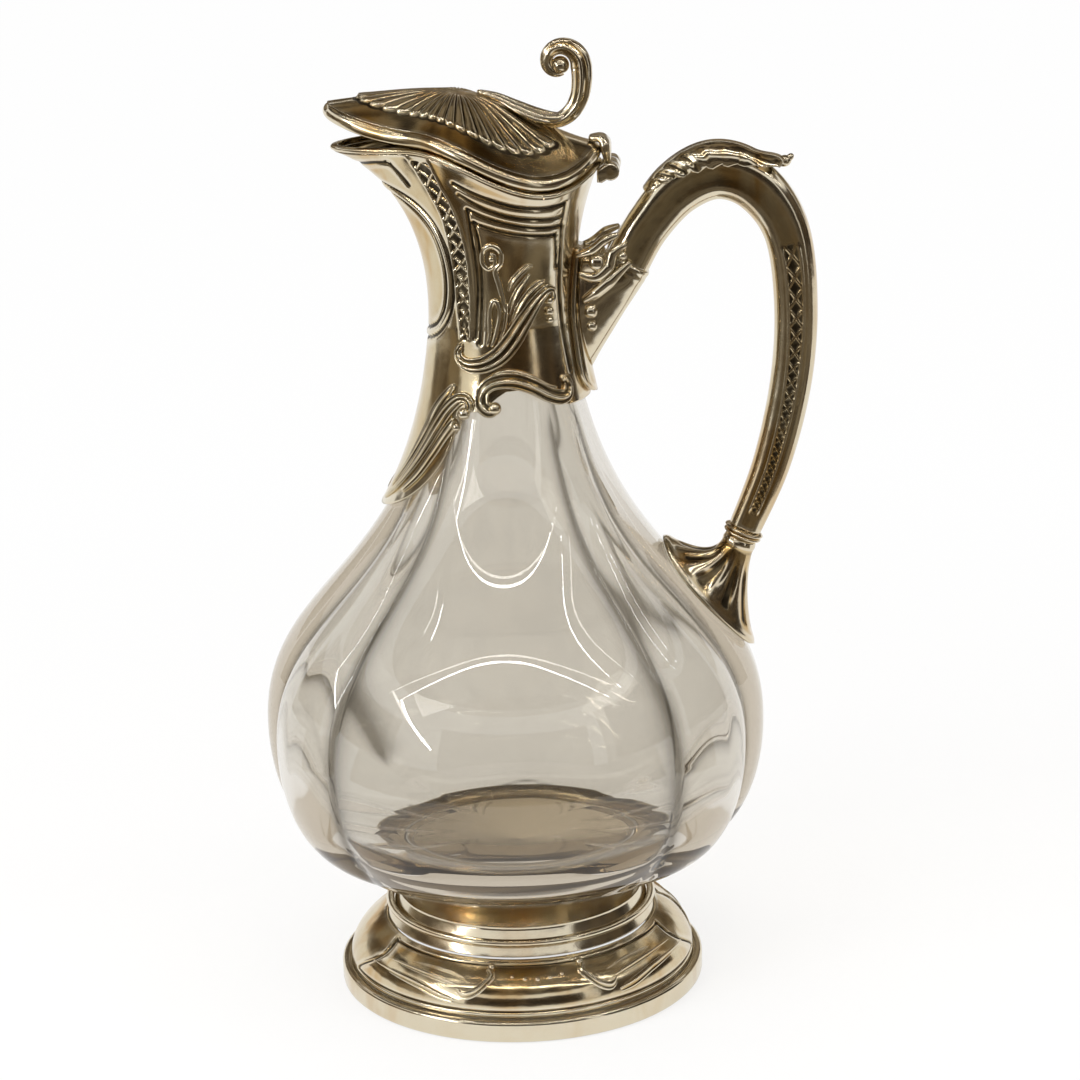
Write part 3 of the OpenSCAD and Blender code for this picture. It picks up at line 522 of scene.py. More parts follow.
# ---------------------------------------------------------------- glass body
BELLY = 74.4
BELLY_Z = 82.0
BOWL_Z = 39.0
MOUTH = 19.4
MOUTH_Z = 205.0
STUB = 33.0
STUB_Z = 29.1
FLOOR_Z = 45.0
PETAL = 38.0
BOWL_TURN = (mix(42.0, BELLY, 0.37), BOWL_Z + 3.2)
UNDER = [(STUB, BOWL_Z - 3.96), (STUB + 3.96, BOWL_Z + 0.2), (BOWL_TURN[0] - 7, BOWL_Z + 1.2), BOWL_TURN]
BOWL = [
    BOWL_TURN, (mix(BOWL_TURN[0], BELLY, 0.55), BOWL_Z + 7), (BELLY, mix(BOWL_Z, BELLY_Z, 0.48)), (BELLY, BELLY_Z),
]
SHOULDER = [
    (BELLY, BELLY_Z), (BELLY, mix(BELLY_Z, MOUTH_Z, 0.372)),
    (MOUTH + 6.3, mix(BELLY_Z, MOUTH_Z, 0.354)), (MOUTH, MOUTH_Z),
]
GLASS_LINE = np.concatenate([profile(UNDER, 20), profile(BOWL, 40, 1), profile(SHOULDER, 160, 1)])


def glass_radius(z):
    """Outer radius of the glass at a height."""
    return np.interp(z, GLASS_LINE[:, 1], GLASS_LINE[:, 0])


def groove_edges(z):
    """Angles from the spout's line to the first and second groove, which spread with the belly."""
    share = smooth((MOUTH_Z - 15 - z) / (MOUTH_Z - 15 - BELLY_Z))
    return mix(30, 14, share), mix(54, 45, share)


def lobe_place(angle, z):
    """Place between a lobe's crown, 0, and its nearest groove, 1."""
    a = np.mod(angle, 180)
    a = np.minimum(a, 180 - a)
    end, side = groove_edges(z)
    return np.where(
        a < end, a / end, np.where(a < side, np.abs(2 * (a - end) / (side - end) - 1), (90 - a) / (90 - side)),
    )


def groove_cut(angle, z, depth):
    """Depth of the grooves: the lobe's place to the power 2.6, faded at both ends."""
    fade = smooth((MOUTH_Z - 25 - z) / 50) * smooth((z - BOWL_Z) / 12)
    return depth * fade * lobe_place(angle, z) ** 2.6


def glass_columns(z):
    """Angles of the grid's columns at a height, set so that every groove runs along a column."""
    ends, lobes, sides = 12, 24, 24
    end, side = groove_edges(z)
    z = np.broadcast_to(z, end.shape)
    k = np.arange(ends + lobes + sides)
    end, side = end[..., None], side[..., None]
    quarter = np.where(
        k <= ends, end * k / ends,
        np.where(k <= ends + lobes, mix(end, side, (k - ends) / lobes), mix(side, 90.0, (k - ends - lobes) / sides)),
    )
    back = 180 - np.concatenate([np.full((len(z), 1), 90.0), quarter[:, :0:-1]], 1)
    half = np.concatenate([quarter, back], 1)
    return np.concatenate([half, half + 180], 1)


def glass_grid(line, shares, depth):
    """Grid of the glass: profile radius less a share of the groove depth, round the jug."""
    r, z = line[:, 0], line[:, 1]
    angle = glass_columns(z)
    cut = groove_cut(angle, z[:, None], depth) * np.asarray(shares)[:, None]
    return polar(r[:, None] - cut, angle, z[:, None])


def floor_grid(line, shares, depth):
    """Grid of the inner bowl and floor, whose lobes go on to the floor and fade with the radius."""
    r, z = line[:, 0], line[:, 1]
    angle = glass_columns(z)
    whole = groove_cut(angle, np.full_like(z, BELLY_Z)[:, None], 1.0)
    cut = whole * depth * np.asarray(shares)[:, None] * np.clip(r / 30, 0, 1)[:, None]
    return polar(r[:, None] - cut, angle, z[:, None])


class JUG_OT_glass(bpy.types.Operator):
    """Blown glass body: outer and inner profile revolved, with eight lobes pressed in."""

    bl_idname = "jug.glass"
    bl_label = "Glass body"

    def execute(self, context):
        look = context.scene.jug_glass
        stub = [(STUB - 0.8, STUB_Z), (STUB, STUB_Z + 0.8)]
        outer = np.concatenate([stub, profile(UNDER, 12), profile(BOWL, 40, 1), profile(SHOULDER, 110, 1)])
        share = np.concatenate([[0, 0], np.ones(len(outer) - 2)])
        wall = look.wall
        inside = profile(SHOULDER, 110, 1)[::-1] - (wall, 0)
        inner_r = BELLY - wall
        bend = (inner_r, mix(FLOOR_Z, BELLY_Z, 0.35))
        bowl = profile([(STUB - 6, FLOOR_Z), (inner_r - 12, FLOOR_Z), bend, (inner_r, BELLY_Z)], 40)[::-1]
        x = np.linspace(STUB - 8, 0.0, 24)
        floor = np.stack([x, FLOOR_Z - 0.8 * smooth((22 - x) / 16)], -1)
        share = np.concatenate([share, np.full(len(inside), 0.5)])
        upper = glass_grid(np.concatenate([outer, inside]), share, look.groove)
        low = (bowl[:, 1] - FLOOR_Z) / (BELLY_Z - FLOOR_Z)
        lobes = np.concatenate([mix(1.5, 0.45, smooth(low * 2.2)), mix(1.5, 0.2, smooth((22 - x) / 10))])
        lobes[0] = 0.5
        grid = np.concatenate([upper, floor_grid(np.concatenate([bowl, floor]), lobes, look.groove)])
        # Painted shade lines along the grooves and round the floor, kept in the recess attribute.
        painted_light = self.lines(np.concatenate([outer, inside, bowl, floor]), len(outer), len(outer) + len(inside))
        piece("glass_bowl", [closed(grid)], "jug", "glass", ["glass_body"], painted_light=painted_light)
        return {"FINISHED"}

    def lines(self, line, outside, upper):
        """Painted shade lines, which stand in for the dark edges that refraction draws: along the grooves on the
        first rows, which lie outside, and on the rows of the inner bowl and floor two scalloped rings, whose radius
        is least in line with the grooves."""
        angle = glass_columns(line[:, 1])
        r, z = line[:, :1], line[:, 1:]
        groove = lobe_place(angle, z) ** 7 * smooth((186 - z) / 12) * smooth((z - 44) / 8)
        groove[outside:] = 0
        edge = PETAL * (1 - 0.34 * lobe_place(angle, np.full_like(z, BELLY_Z)) ** 1.2)
        petals = 0.75 * bell(r - edge, 1.5) + 0.55 * bell(r - 0.8 * edge, 1.0)
        petals[:upper] = 0
        painted_light = np.maximum(groove, petals)
        return np.concatenate([0 * painted_light[0], painted_light.ravel(), 0 * painted_light[0]])


# ---------------------------------------------------------------- neck mount
COLLAR_GAP = 0.6 + 2 * GAP
COLLAR_WALL = 1.1
NECK = MOUTH + COLLAR_GAP + COLLAR_WALL
NECK_Z = MOUTH_Z + 1
HEM_Z = 182.0
TONGUE_Z = 150.0
LIP = 28.6
LIP_WIRE = 1.8


def around(angle):
    """Angle from the spout, 0 to 180, either way round."""
    a = np.mod(angle, 360)
    return np.minimum(a, 360 - a)


def spout_share(angle):
    """Bell curve that is 1 at the spout and nearly 0 past 50 degrees."""
    return bell(around(angle), 24)


def lip_radius(angle):
    """Radius of the lip: a circle plus the spout's bell curve."""
    return LIP + 18.4 * spout_share(angle)


def lip_height(angle):
    """Height of the lip: mean height plus three cosine waves."""
    a = np.radians(angle)
    return 251.3 + 5.4 * np.cos(a) + 1.8 * np.cos(2 * a) - 2.65 * np.cos(3 * a)


def crowded(count):
    """Angles round the jug, closer together at the spout."""
    u = turn_steps(count)
    return u - 22 * np.sin(np.radians(u))


def hem_height(angle):
    """Lower edge of the neck mount: arched under each scroll border, with a half-ellipse tongue under the spout."""
    a = np.minimum(around(angle) / 60, 1)
    arch = np.interp(
        around(angle), (78, 86.8, 94.5, 104.8, 113.8, 122.9, 133, 140), (0, 3.7, 5.8, 6.1, 4.6, 2.6, 1.7, 0),
    )
    return mix(TONGUE_Z, HEM_Z, 1 - np.sqrt(1 - a * a)) + arch


def upper_curve(angle, t):
    """Radius and height of the flaring upper part of the neck mount at share t of its Bezier curve."""
    s = np.sqrt(spout_share(angle))
    r, z = lip_radius(angle), lip_height(angle) - LIP_WIRE
    rise = z - NECK_Z
    radius = bezier([NECK + 0 * r, NECK - 1 + 0 * r, r - (r - NECK) * mix(0.5, 0.62, s), r], t)
    height = bezier([NECK_Z + 0 * r, NECK_Z + 0.5 * rise, z - rise * mix(0.2, 0.125, s), z], t)
    return radius, height


def flare_table():
    """Radius of the flaring part by height share and whole degree, for looking up."""
    shares = np.linspace(0, 1, 161)
    rows = []
    for angle in range(361):
        r, z = upper_curve(float(angle), np.linspace(0, 1, 120))
        rows.append(np.interp(shares, (z - NECK_Z) / (z[-1] - NECK_Z), r))
    return np.array(rows)


FLARE = flare_table()


def collar_radius(angle, z):
    """Outer radius of the neck mount at an angle and height."""
    angle, z = np.broadcast_arrays(np.mod(np.asarray(angle, float), 360), np.asarray(z, float))
    low = glass_radius(np.minimum(z, MOUTH_Z)) + COLLAR_GAP + COLLAR_WALL
    top = lip_height(angle) - LIP_WIRE
    share = np.clip((z - NECK_Z) / (top - NECK_Z), 0, 1) * 160
    i, j = np.minimum(angle.astype(int), 359), np.minimum(share.astype(int), 159)
    u, v = angle - i, share - j
    high = mix(mix(FLARE[i, j], FLARE[i + 1, j], u), mix(FLARE[i, j + 1], FLARE[i + 1, j + 1], u), v)
    return np.where(z <= NECK_Z, low, high)


def line_distance(points, angle, z, scale, steps=6):
    """Distance in mm from each surface point to a curve through points of angle and height."""
    curve = spline(points, np.linspace(0, len(points) - 1, steps * (len(points) - 1) + 1))
    best = np.full(angle.shape, 1e9)
    for (a0, z0), (a1, z1) in zip(curve[:-1], curve[1:]):
        dx, dz = (a1 - a0) * scale, z1 - z0
        px, pz = (angle - a0) * scale, z - z0
        t = np.clip((px * dx + pz * dz) / np.maximum(dx * dx + dz * dz, 1e-9), 0, 1)
        best = np.minimum(best, (px - t * dx) ** 2 + (pz - t * dz) ** 2)
    return np.sqrt(best)


# Chased lines of the neck mount, as points of angle and height
BAND_LOW = 201.5
CHEVRON = ([(0, 250.4), (9, 250.9), (17.6, 251.9), (23.6, 252.3)], [(23.6, 252.3), (25.2, 249.2), (27.4, 245.8)])
SHIELD = [
    (0, 244.2), (9, 243.2), (18, 241.2), (29, 237.6), (39, 233.2), (46, 227.6), (49.6, 221.3), (49.4, 214.9),
    (45.4, 209.2), (36, 204.8), (24, 202.4), (10, 201.2), (0, 201),
]
BAND_FRONT = [
    (35.2, 255.5), (39.5, 248.6), (44.4, 243.4), (50, 238.2), (52.6, 232.8), (54.4, 226.9), (56, 219.4),
    (57.4, 211.4), (60, 202.5),
]
BAND_BACK = [
    (49.5, 254.5), (53.9, 247.2), (60.1, 241.4), (64.4, 234.9), (67.4, 227.4), (68.6, 219.9), (68.8, 211.8),
    (67.4, 202.5),
]
UPPER_LINES = (
    [(65.3, 248), (76.6, 245.6), (87.9, 243.6), (102.2, 241.4), (116.7, 240.4), (128.3, 240.4), (136.3, 240.8)],
    [(68, 244.8), (80.7, 241.8), (96.6, 239), (110.5, 237.6), (126, 236.9), (136.9, 236.9)],
    [(72.4, 240.5), (87, 237.9), (102.5, 235.9), (117.3, 234.6), (139.2, 234)],
)
FRAME_OUTER = (
    [(72.1, 240.2), (73.3, 231.9), (74.7, 225.4), (75.2, 216.7), (72.6, 203)],
    [(137.5, 240.8), (139.4, 234.1), (141.5, 228), (142.6, 222), (143.5, 212), (146, 201), (148.5, 191)],
)
FRAME_INNER = (
    [(75.6, 236.6), (78, 231), (78.6, 223.3), (78.3, 214.7), (76, 201.5)],
    [(75.6, 236.6), (92.8, 234.3), (111.3, 232.6), (134.5, 231.6)], [(134.5, 231.6), (137.8, 226.5), (139.2, 222)],
)


def chasing(angle, z, radius, depth):
    """Relief of the neck mount in mm: lines cut as bell curves, and a sunken band with crossing ridges."""
    a = around(angle)
    scale = radius * np.pi / 180
    height = np.zeros(a.shape)

    def cut(points, amount, width):
        d = line_distance(points, a, z, scale)
        return -amount * depth * bell(d, width)

    for part in CHEVRON:
        height += cut(part, 1.2, 0.6)
    shield = line_distance(SHIELD, a, z, scale)
    height += depth * (0.9 * bell(shield, 0.75) - 1.5 * bell(shield - 1.4, 0.5))
    front, back = (np.interp(z, *np.array(edge[::-1]).T[::-1]) for edge in (BAND_FRONT, BAND_BACK))
    middle, half = (front + back) / 2, np.maximum((back - front) / 2, 1)
    across = (a - middle) / half
    reach = half * scale
    inside = smooth((reach * (1 - np.abs(across))) / 0.5) * smooth((z - BAND_LOW) / 1.5)
    inside = inside * smooth((lip_height(angle) - 3.2 - z) / 0.8)
    turn = np.abs(np.mod((z - 202) / 4.9, 2) - 1) * 2 - 1
    cross = np.minimum(np.abs(across - turn), np.abs(across + turn)) * reach * 0.7
    height += inside * depth * mix(0.55, 0.85, smooth((z - 214) / 14)) * (-1.9 + 1.8 * bell(cross, 0.45))
    for edge in (BAND_FRONT, BAND_BACK):
        d = line_distance(edge, a, z, scale)
        height += depth * 0.9 * bell(d, 0.55) * smooth((z - BAND_LOW) / 1.5)
    for part, amount in zip(UPPER_LINES, (1.5, 1.0, 1.2)):
        height += cut(part, 1.15 * amount, 0.62)
    for part in FRAME_OUTER:
        height += cut(part, 1.3, 0.58)
    for part in FRAME_INNER:
        height += cut(part, 1.4, 0.6)
    below = lip_height(angle) - LIP_WIRE - z
    return height * (a < 152) * smooth(below / 0.8)


def collar_grid(columns, lower, upper, depth):
    """Outer rows of the neck mount from hem to lip, raised and cut along their normals by the chasing."""
    angle = crowded(columns)[None]
    t = np.linspace(0, 1, lower)[:, None]
    z0 = mix(hem_height(angle), NECK_Z, t)
    low = polar(collar_radius(angle, z0), angle, z0)
    r1, z1 = upper_curve(angle, np.linspace(0, 1, upper + 1)[1:, None])
    high = polar(r1, angle, z1)
    grid = np.concatenate([low, high])
    padded = np.concatenate([grid[:, -1:], grid, grid[:, :1]], 1)
    normal = np.cross(np.gradient(padded, axis=0), np.gradient(padded, axis=1))[:, 1:-1]
    normal = unit(normal)
    outward = np.sign((normal * grid * (1, 1, 0)).sum(-1, keepdims=True))
    radius = np.linalg.norm(grid[..., :2], axis=-1)
    height = chasing(np.broadcast_to(angle, radius.shape), grid[..., 2], radius, depth)
    return grid + normal * outward * height[..., None]


def lip_ring(section, columns=300, beak=0.0):
    """Ring grid whose section of radius and height offsets rides on the lip; beak lifts it over the spout."""
    angle = crowded(columns)[None]
    w = spout_share(angle)
    s = np.asarray(section, float)
    reach = 1.8 * w if beak else 0.0
    return polar(lip_radius(angle) + s[:, :1] + reach, angle, lip_height(angle) + s[:, 1:] + beak * w**1.4)


def rounded(section, steps=5, pull=0.5):
    """Closed section with rounded corners: a closed curve of cubics, pulled towards the straight edges."""
    p = np.asarray(section, float)
    n = len(p)
    u = np.arange(n * steps) / steps
    i = u.astype(int)
    t = (u - i)[:, None]
    b, c = p[i % n], p[(i + 1) % n]
    return mix(between(p[(i - 1) % n], b, c, p[(i + 2) % n], t), mix(b, c, t), pull)


class JUG_OT_neck(bpy.types.Operator):
    """Cast neck mount: Bezier flare from hem to lip with chased lines, and the wire on its lip."""

    bl_idname = "jug.neck"
    bl_label = "Neck mount"

    def execute(self, context):
        depth = context.scene.jug_silver.chasing
        outer = collar_grid(410, 84, 122, depth)
        angle = crowded(410)[None]
        r1, z1 = upper_curve(angle, np.linspace(1, 0, 12)[:, None])
        t = np.linspace(1, 0, 10)[1:, None]
        z0 = mix(hem_height(angle), NECK_Z, t)
        rise = z0 - np.maximum(hem_height(angle), HEM_Z - 8)
        bed = mix(GAP + 0.2, COLLAR_GAP, smooth(rise / 10))
        lower = polar(glass_radius(np.minimum(z0, MOUTH_Z)) + bed, angle, z0)
        shell = closed(np.concatenate([outer, polar(r1 - COLLAR_WALL, angle, z1), lower]), True)
        piece("neck_mount", [shell], "jug", "silver", ["neck_collar"], passes=12, depth=0.10)
        low = GAP - LIP_WIRE
        wire = [
            (0.0, low), (0.85, low * 0.8), (1.1, low * 0.45), (0.75, low * 0.12), (0.0, 0), (-1.2, 0), (-1.2, low),
        ]
        wire = rounded(wire, 6, 0.0)
        piece("lip_wire", [closed(lip_ring(wire), True)], "jug", "silver", ["collar_lip_wire"], passes=6, depth=0.10)
        z = np.linspace(195, MOUTH_Z - 3, 5)
        ring = np.stack([glass_radius(z), z], -1)
        ring = np.concatenate([ring + (GAP, 0), ring[::-1] + (COLLAR_GAP - GAP, 0)])
        piece("neck_bed", [closed(revolved(ring, 96), True)], "jug", "plaster", ["collar_cement"])
        return {"FINISHED"}


# ---------------------------------------------------------------- cast ornaments
def on_neck(angle, z, lift):
    """Point on the neck mount, lifted from it."""
    return polar(collar_radius(angle, z) + lift, angle, z)


# Cast scrolls and leaves, as points of angle, height, half width and rise; BOLD widens all of them
BOLD = 1.35


def stroke(points, rows=90, columns=20, flutes=0, depth=0.3, lift=0.05, place=on_neck, far=False):
    """Raised scroll on a surface. Points hold angle, height, half width and rise; the section is a half ellipse
    whose height is dented by cosine flutes, and both ends are rounded."""
    p = np.array(points, float)
    q = spline(p, np.linspace(0, len(p) - 1, rows)) * (1, 1, BOLD, BOLD - 0.1)
    here = place(q[:, 0], q[:, 1], lift)
    out = unit(here * (1, 1, 0)) if place is on_neck else unit(here * (1, 1, 0) + (0, 0, 30))
    side = unit(np.cross(along(here), out))
    end = np.minimum(np.arange(rows), np.arange(rows)[::-1]) / (rows * 0.06)
    fade = np.sqrt(np.clip(1 - (1 - np.minimum(end, 1)) ** 2, 0.01, 1))
    v = np.linspace(np.pi, 0, columns)
    width = (q[:, 2] * fade)[:, None] * np.cos(v)
    flat = here[:, None] + side[:, None] * width[..., None]
    dent = 1 - depth * (0.5 - 0.5 * np.cos(2 * np.pi * flutes * (0.5 + 0.5 * np.cos(v)))) if flutes else 1.0
    rise = (q[:, 3] * fade)[:, None] * np.sin(v) ** 0.8 * dent
    angle = np.degrees(np.arctan2(-flat[..., 1], -flat[..., 0]))
    if place is on_neck:
        top = place(angle, flat[..., 2], lift + rise)
        under = place(angle, flat[..., 2], lift - 0.15)
    else:
        radius = np.linalg.norm(flat[..., :2], axis=-1)
        top, under = place(angle, radius, lift + rise), place(angle, radius, lift - 0.15)
    grid = np.concatenate([top, under[:, -2:0:-1]], 1)
    if far:
        grid = grid * (1, -1, 1)
    return closed(grid)


def bead(angle, z, radius, far=False):
    """Bead that sits on the neck mount."""
    middle = on_neck(angle, z, 0.35 * radius)
    if far:
        middle = middle * (1, -1, 1)
    return ball(middle, radius, 1.0, middle * (1, 1, 0))


SCROLL = [
    (88.6, 184.9, 1.0, 1.1), (86.5, 183.2, 1.2, 1.4), (83, 182.8, 1.6, 1.8), (78.6, 184.4, 1.6, 1.8),
    (78.6, 187.8, 1.5, 1.7), (84, 190.2, 1.6, 1.8), (93, 191.2, 1.8, 1.9), (103, 190.8, 1.9, 2.0),
    (114, 188.8, 1.8, 1.9), (124, 186.2, 1.7, 1.8), (133, 184.9, 1.7, 1.8), (139.4, 185.4, 1.5, 1.6),
    (141.8, 187.6, 1.3, 1.5), (140, 189.4, 1.1, 1.3), (137.2, 189.0, 0.8, 1.0),
]
SCROLL_EDGE = [
    (80, 189.8, 0.45, 0.6), (84.5, 192.2, 0.5, 0.7), (93.5, 193.6, 0.55, 0.8), (104, 193.2, 0.55, 0.8),
    (114, 191.4, 0.5, 0.7), (124, 188.7, 0.5, 0.7), (132, 187.6, 0.4, 0.6),
]
SPRAY = [
    (62.5, 200.6, 0.8, 0.9), (60.2, 200.2, 0.9, 1.1), (58.6, 198.4, 1.0, 1.3), (61.5, 196.4, 1.2, 1.5),
    (69, 195.2, 1.6, 1.8), (80, 195.8, 1.9, 2.0), (91, 198.4, 2.1, 2.1), (101, 203, 2.1, 2.1), (109.5, 208, 1.9, 2.0),
    (118.5, 212.6, 1.6, 1.8), (127, 215.6, 1.3, 1.6), (133.4, 215.6, 1.0, 1.3), (135.2, 213.4, 0.8, 1.0),
    (133, 212, 0.5, 0.7),
]
FIDDLE = [
    (96.5, 210, 0.35, 0.5), (94.5, 214, 0.6, 0.8), (92, 218.5, 0.7, 0.9), (89.6, 222.6, 0.7, 0.9),
    (93.4, 225, 0.65, 0.9), (93.4, 228.2, 0.65, 0.9), (87.6, 230, 0.65, 0.9), (81.4, 228.6, 0.6, 0.85),
    (80.4, 225, 0.6, 0.8), (84.4, 223.2, 0.55, 0.7), (89, 224.6, 0.5, 0.65), (89, 227.2, 0.5, 0.6),
    (85.6, 227.4, 0.4, 0.5),
]
BUD = [
    (81.4, 200.6, 0.4, 0.5), (83.8, 205.1, 0.55, 0.75), (84, 209.6, 0.6, 0.8), (85.2, 212.6, 0.6, 0.85),
    (88, 213.9, 0.6, 0.85), (90.8, 212.4, 0.6, 0.85), (91.2, 209.4, 0.6, 0.8), (88.4, 204.6, 0.6, 0.75),
    (84.6, 200.4, 0.4, 0.5),
]
SPRIGS = (
    [
        (98.6, 216.6, 0.3, 0.4), (101, 219, 0.75, 0.9), (106, 221.4, 0.8, 1.0), (112, 223.2, 0.7, 0.8),
        (117, 223.6, 0.3, 0.4),
    ],
    [
        (98.4, 209.6, 0.3, 0.4), (101.4, 213.2, 0.8, 1.0), (106, 216.6, 0.9, 1.1), (111.4, 219.6, 0.7, 0.9),
        (115, 221.4, 0.3, 0.4),
    ],
    [(90, 201.4, 0.3, 0.4), (95, 205.6, 0.6, 0.8), (97.2, 210, 0.65, 0.85), (97.4, 213.2, 0.3, 0.4)],
    [
        (99, 206.4, 0.3, 0.4), (106, 211.4, 0.9, 1.1), (113, 215.4, 0.9, 1.2), (121, 217.8, 0.8, 1.0),
        (128, 218.8, 0.3, 0.4),
    ],
)
SPRAY_BEADS = ((131.4, 212.6, 1.15), (131, 209.6, 1.3), (131.6, 207, 0.95), (87, 226.2, 0.9))
LEAF_TOP = [
    (57, 189.4, 0.5, 0.6), (53, 187.4, 1.0, 1.2), (47.6, 184.4, 1.3, 1.5), (42, 180.6, 1.4, 1.5),
    (37, 175.8, 1.4, 1.4), (30, 169.6, 1.2, 1.2), (22, 163, 0.9, 0.9), (12, 156, 0.5, 0.6),
]
LEAF_MIDDLE = [
    (68.4, 182.2, 0.9, 1.2), (69.6, 184.2, 1.1, 1.4), (66.4, 185.8, 1.2, 1.5), (60.4, 185.2, 1.4, 1.7),
    (53, 182, 1.6, 1.9), (46, 177, 1.7, 1.9), (39, 171, 1.6, 1.7), (31, 164.4, 1.3, 1.4), (20, 157, 0.9, 0.9),
    (8, 152, 0.5, 0.5),
]
LEAF_LOW = [
    (60.6, 179.6, 0.9, 1.2), (58, 178, 1.2, 1.5), (52.6, 174.4, 1.3, 1.5), (46, 169, 1.3, 1.4), (38, 162.6, 1.1, 1.2),
    (28, 157, 0.8, 0.8),
]


class JUG_OT_ornaments(bpy.types.Operator):
    """Cast scrolls, sprays and leaves on the neck mount: half-ellipse sections carried along splines."""

    bl_idname = "jug.ornaments"
    bl_label = "Neck ornaments"

    def execute(self, context):
        for far, side in ((False, "near"), (True, "far")):
            scroll = [stroke(SCROLL, 130, 28, 2, 0.42, far=far), stroke(SCROLL_EDGE, 60, 14, far=far)]
            scroll += [bead(86.8, 183.4, 1.9, far)]
            piece(f"scroll_border_{side}", scroll, "jug", "silver", [f"border_scroll_{side}"], passes=5)
            spray = [stroke(SPRAY, 130, 32, 3, 0.45, far=far)]
            spray += [stroke(FIDDLE, 120, 14, far=far), stroke(BUD, 90, 14, far=far)]
            spray += [stroke(s, 50, 22, 2, 0.42, far=far) for s in SPRIGS]
            spray += [bead(*place, far) for place in SPRAY_BEADS]
            piece(f"leaf_spray_{side}", spray, "jug", "silver", [f"side_spray_{side}"], passes=5)
            leaf = [stroke(LEAF_TOP, 90, 26, 2, 0.45, far=far), stroke(LEAF_MIDDLE, 110, 30, 3, 0.45, far=far)]
            leaf += [stroke(LEAF_LOW, 80, 26, 2, 0.45, far=far)]
            leaf += [bead(66.2, 181.6, 1.8, far), bead(61.4, 177.6, 1.3, far)]
            piece(f"tongue_leaf_{side}", leaf, "jug", "silver", [f"front_leaf_{side}"], passes=5)
        return {"FINISHED"}


# ---------------------------------------------------------------- handle
ARM_X = NECK + 15
REACH = 84.6
BEND_Z = 245.6
GRIP_T = 12.6
GRIP_W = 12.0
FERRULE_H = 2.6
PAD_Z = 121.0
PAD_H = 33.0
PAD_W = 25.0
PAD_X = float(glass_radius(PAD_Z) - groove_cut(np.array(180.0), np.array(PAD_Z), GROOVE))
HANDLE_END = np.array((PAD_X + 11.5, 0.0, PAD_Z + 19))
HANDLE_PATH = np.array([
    (ARM_X, 0, mix(NECK_Z, BEND_Z, 0.37)), (mix(ARM_X, REACH, 0.12), 0, mix(NECK_Z, BEND_Z, 0.62)),
    (mix(ARM_X, REACH, 0.31), 0, mix(NECK_Z, BEND_Z, 0.88)), (mix(ARM_X, REACH, 0.54), 0, BEND_Z),
    (mix(ARM_X, REACH, 0.77), 0, BEND_Z - 4.2), (REACH - 2.6, 0, BEND_Z - 17),
    (REACH, 0, mix(HANDLE_END[2], BEND_Z, 0.64)), (REACH - 1.5, 0, mix(HANDLE_END[2], BEND_Z, 0.42)),
    (mix(HANDLE_END[0], REACH, 0.53), 0, mix(HANDLE_END[2], BEND_Z, 0.19)), tuple(HANDLE_END),
])
GRIP_SHARES = [
    (1.04, 1.0), (1.04, 1.0), (1.14, 1.05), (1.2, 1.1), (1.16, 1.08), (1.06, 1.0), (1.0, 0.96), (0.96, 0.92),
    (0.88, 0.84), (0.76, 0.76),
]

# Scrolls of the socket as points with their radii, and its beads as place, radius, squash and lean, on the +Y side
ROOT_SCROLLS = (
    ([(22.4, 6.8, 218.2), (27.3, 7.3, 217.2), (31.1, 7.2, 220.2), (32.6, 7.0, 224.3), (36.5, 6.6, 226.6)],
     [1.0, 1.7, 1.8, 1.6, 0.8], 70),
    ([(23.6, 6.2, 210.1), (27.3, 7.0, 212.6), (31.1, 7.1, 215.7), (33.6, 6.9, 218.0), (37.5, 6.5, 221.4)],
     [1.2, 1.8, 1.9, 1.5, 0.8], 70),
    ([(21.6, 5.8, 223.3), (26.3, 6.5, 224.8), (30.2, 6.7, 227.8), (34.2, 6.4, 229.4)], [0.9, 1.5, 1.4, 0.7], 60),
)
ROOT_BEADS = (
    ((27.8, 7.2, 221.4), 2.4, 0.6, 0), ((25.8, 6.4, 207.2), 2.2, 0.9, 1),
    ((26.0, 6.0, 202.8), 1.7, 0.9, 1), ((35.2, 7.2, 223.4), 1.4, 1.0, 0),
)


def handle_frame(u):
    """Middle, outward direction and size shares of the handle at place u along its spline."""
    mid = spline(HANDLE_PATH, u)
    way = unit(spline(HANDLE_PATH, np.minimum(9, u + 0.05)) - spline(HANDLE_PATH, np.maximum(0, u - 0.05)))
    out = np.stack([-way[:, 2], 0 * u, way[:, 0]], -1)
    return mid, out, way, spline(GRIP_SHARES, u)


def grip_section(angle):
    """Rounded section of the grip with a shallow channel down each side: powers of cosine and sine."""
    c, s = np.cos(np.radians(angle)), np.sin(np.radians(angle))
    dent = 1 - 0.12 * np.abs(s) ** 12
    return np.sign(c) * np.abs(c) ** 0.8, np.sign(s) * np.abs(s) ** 0.8 * dent


def handle_point(u, angle, lift):
    """Point on the handle at place u and angle round its section, lifted from it."""
    mid, out, _, share = handle_frame(np.atleast_1d(u).ravel())
    shape = np.shape(u)
    mid, out = mid.reshape(*shape, 3), out.reshape(*shape, 3)
    t, w = share[:, 0].reshape(shape), share[:, 1].reshape(shape)
    a, b = grip_section(angle)
    radial = a * GRIP_T * t / 2 + lift * np.cos(np.radians(angle))
    sideways = b * GRIP_W * w / 2 + lift * np.sin(np.radians(angle))
    return mid + out * radial[..., None] + np.stack([0 * sideways, sideways, 0 * sideways], -1)


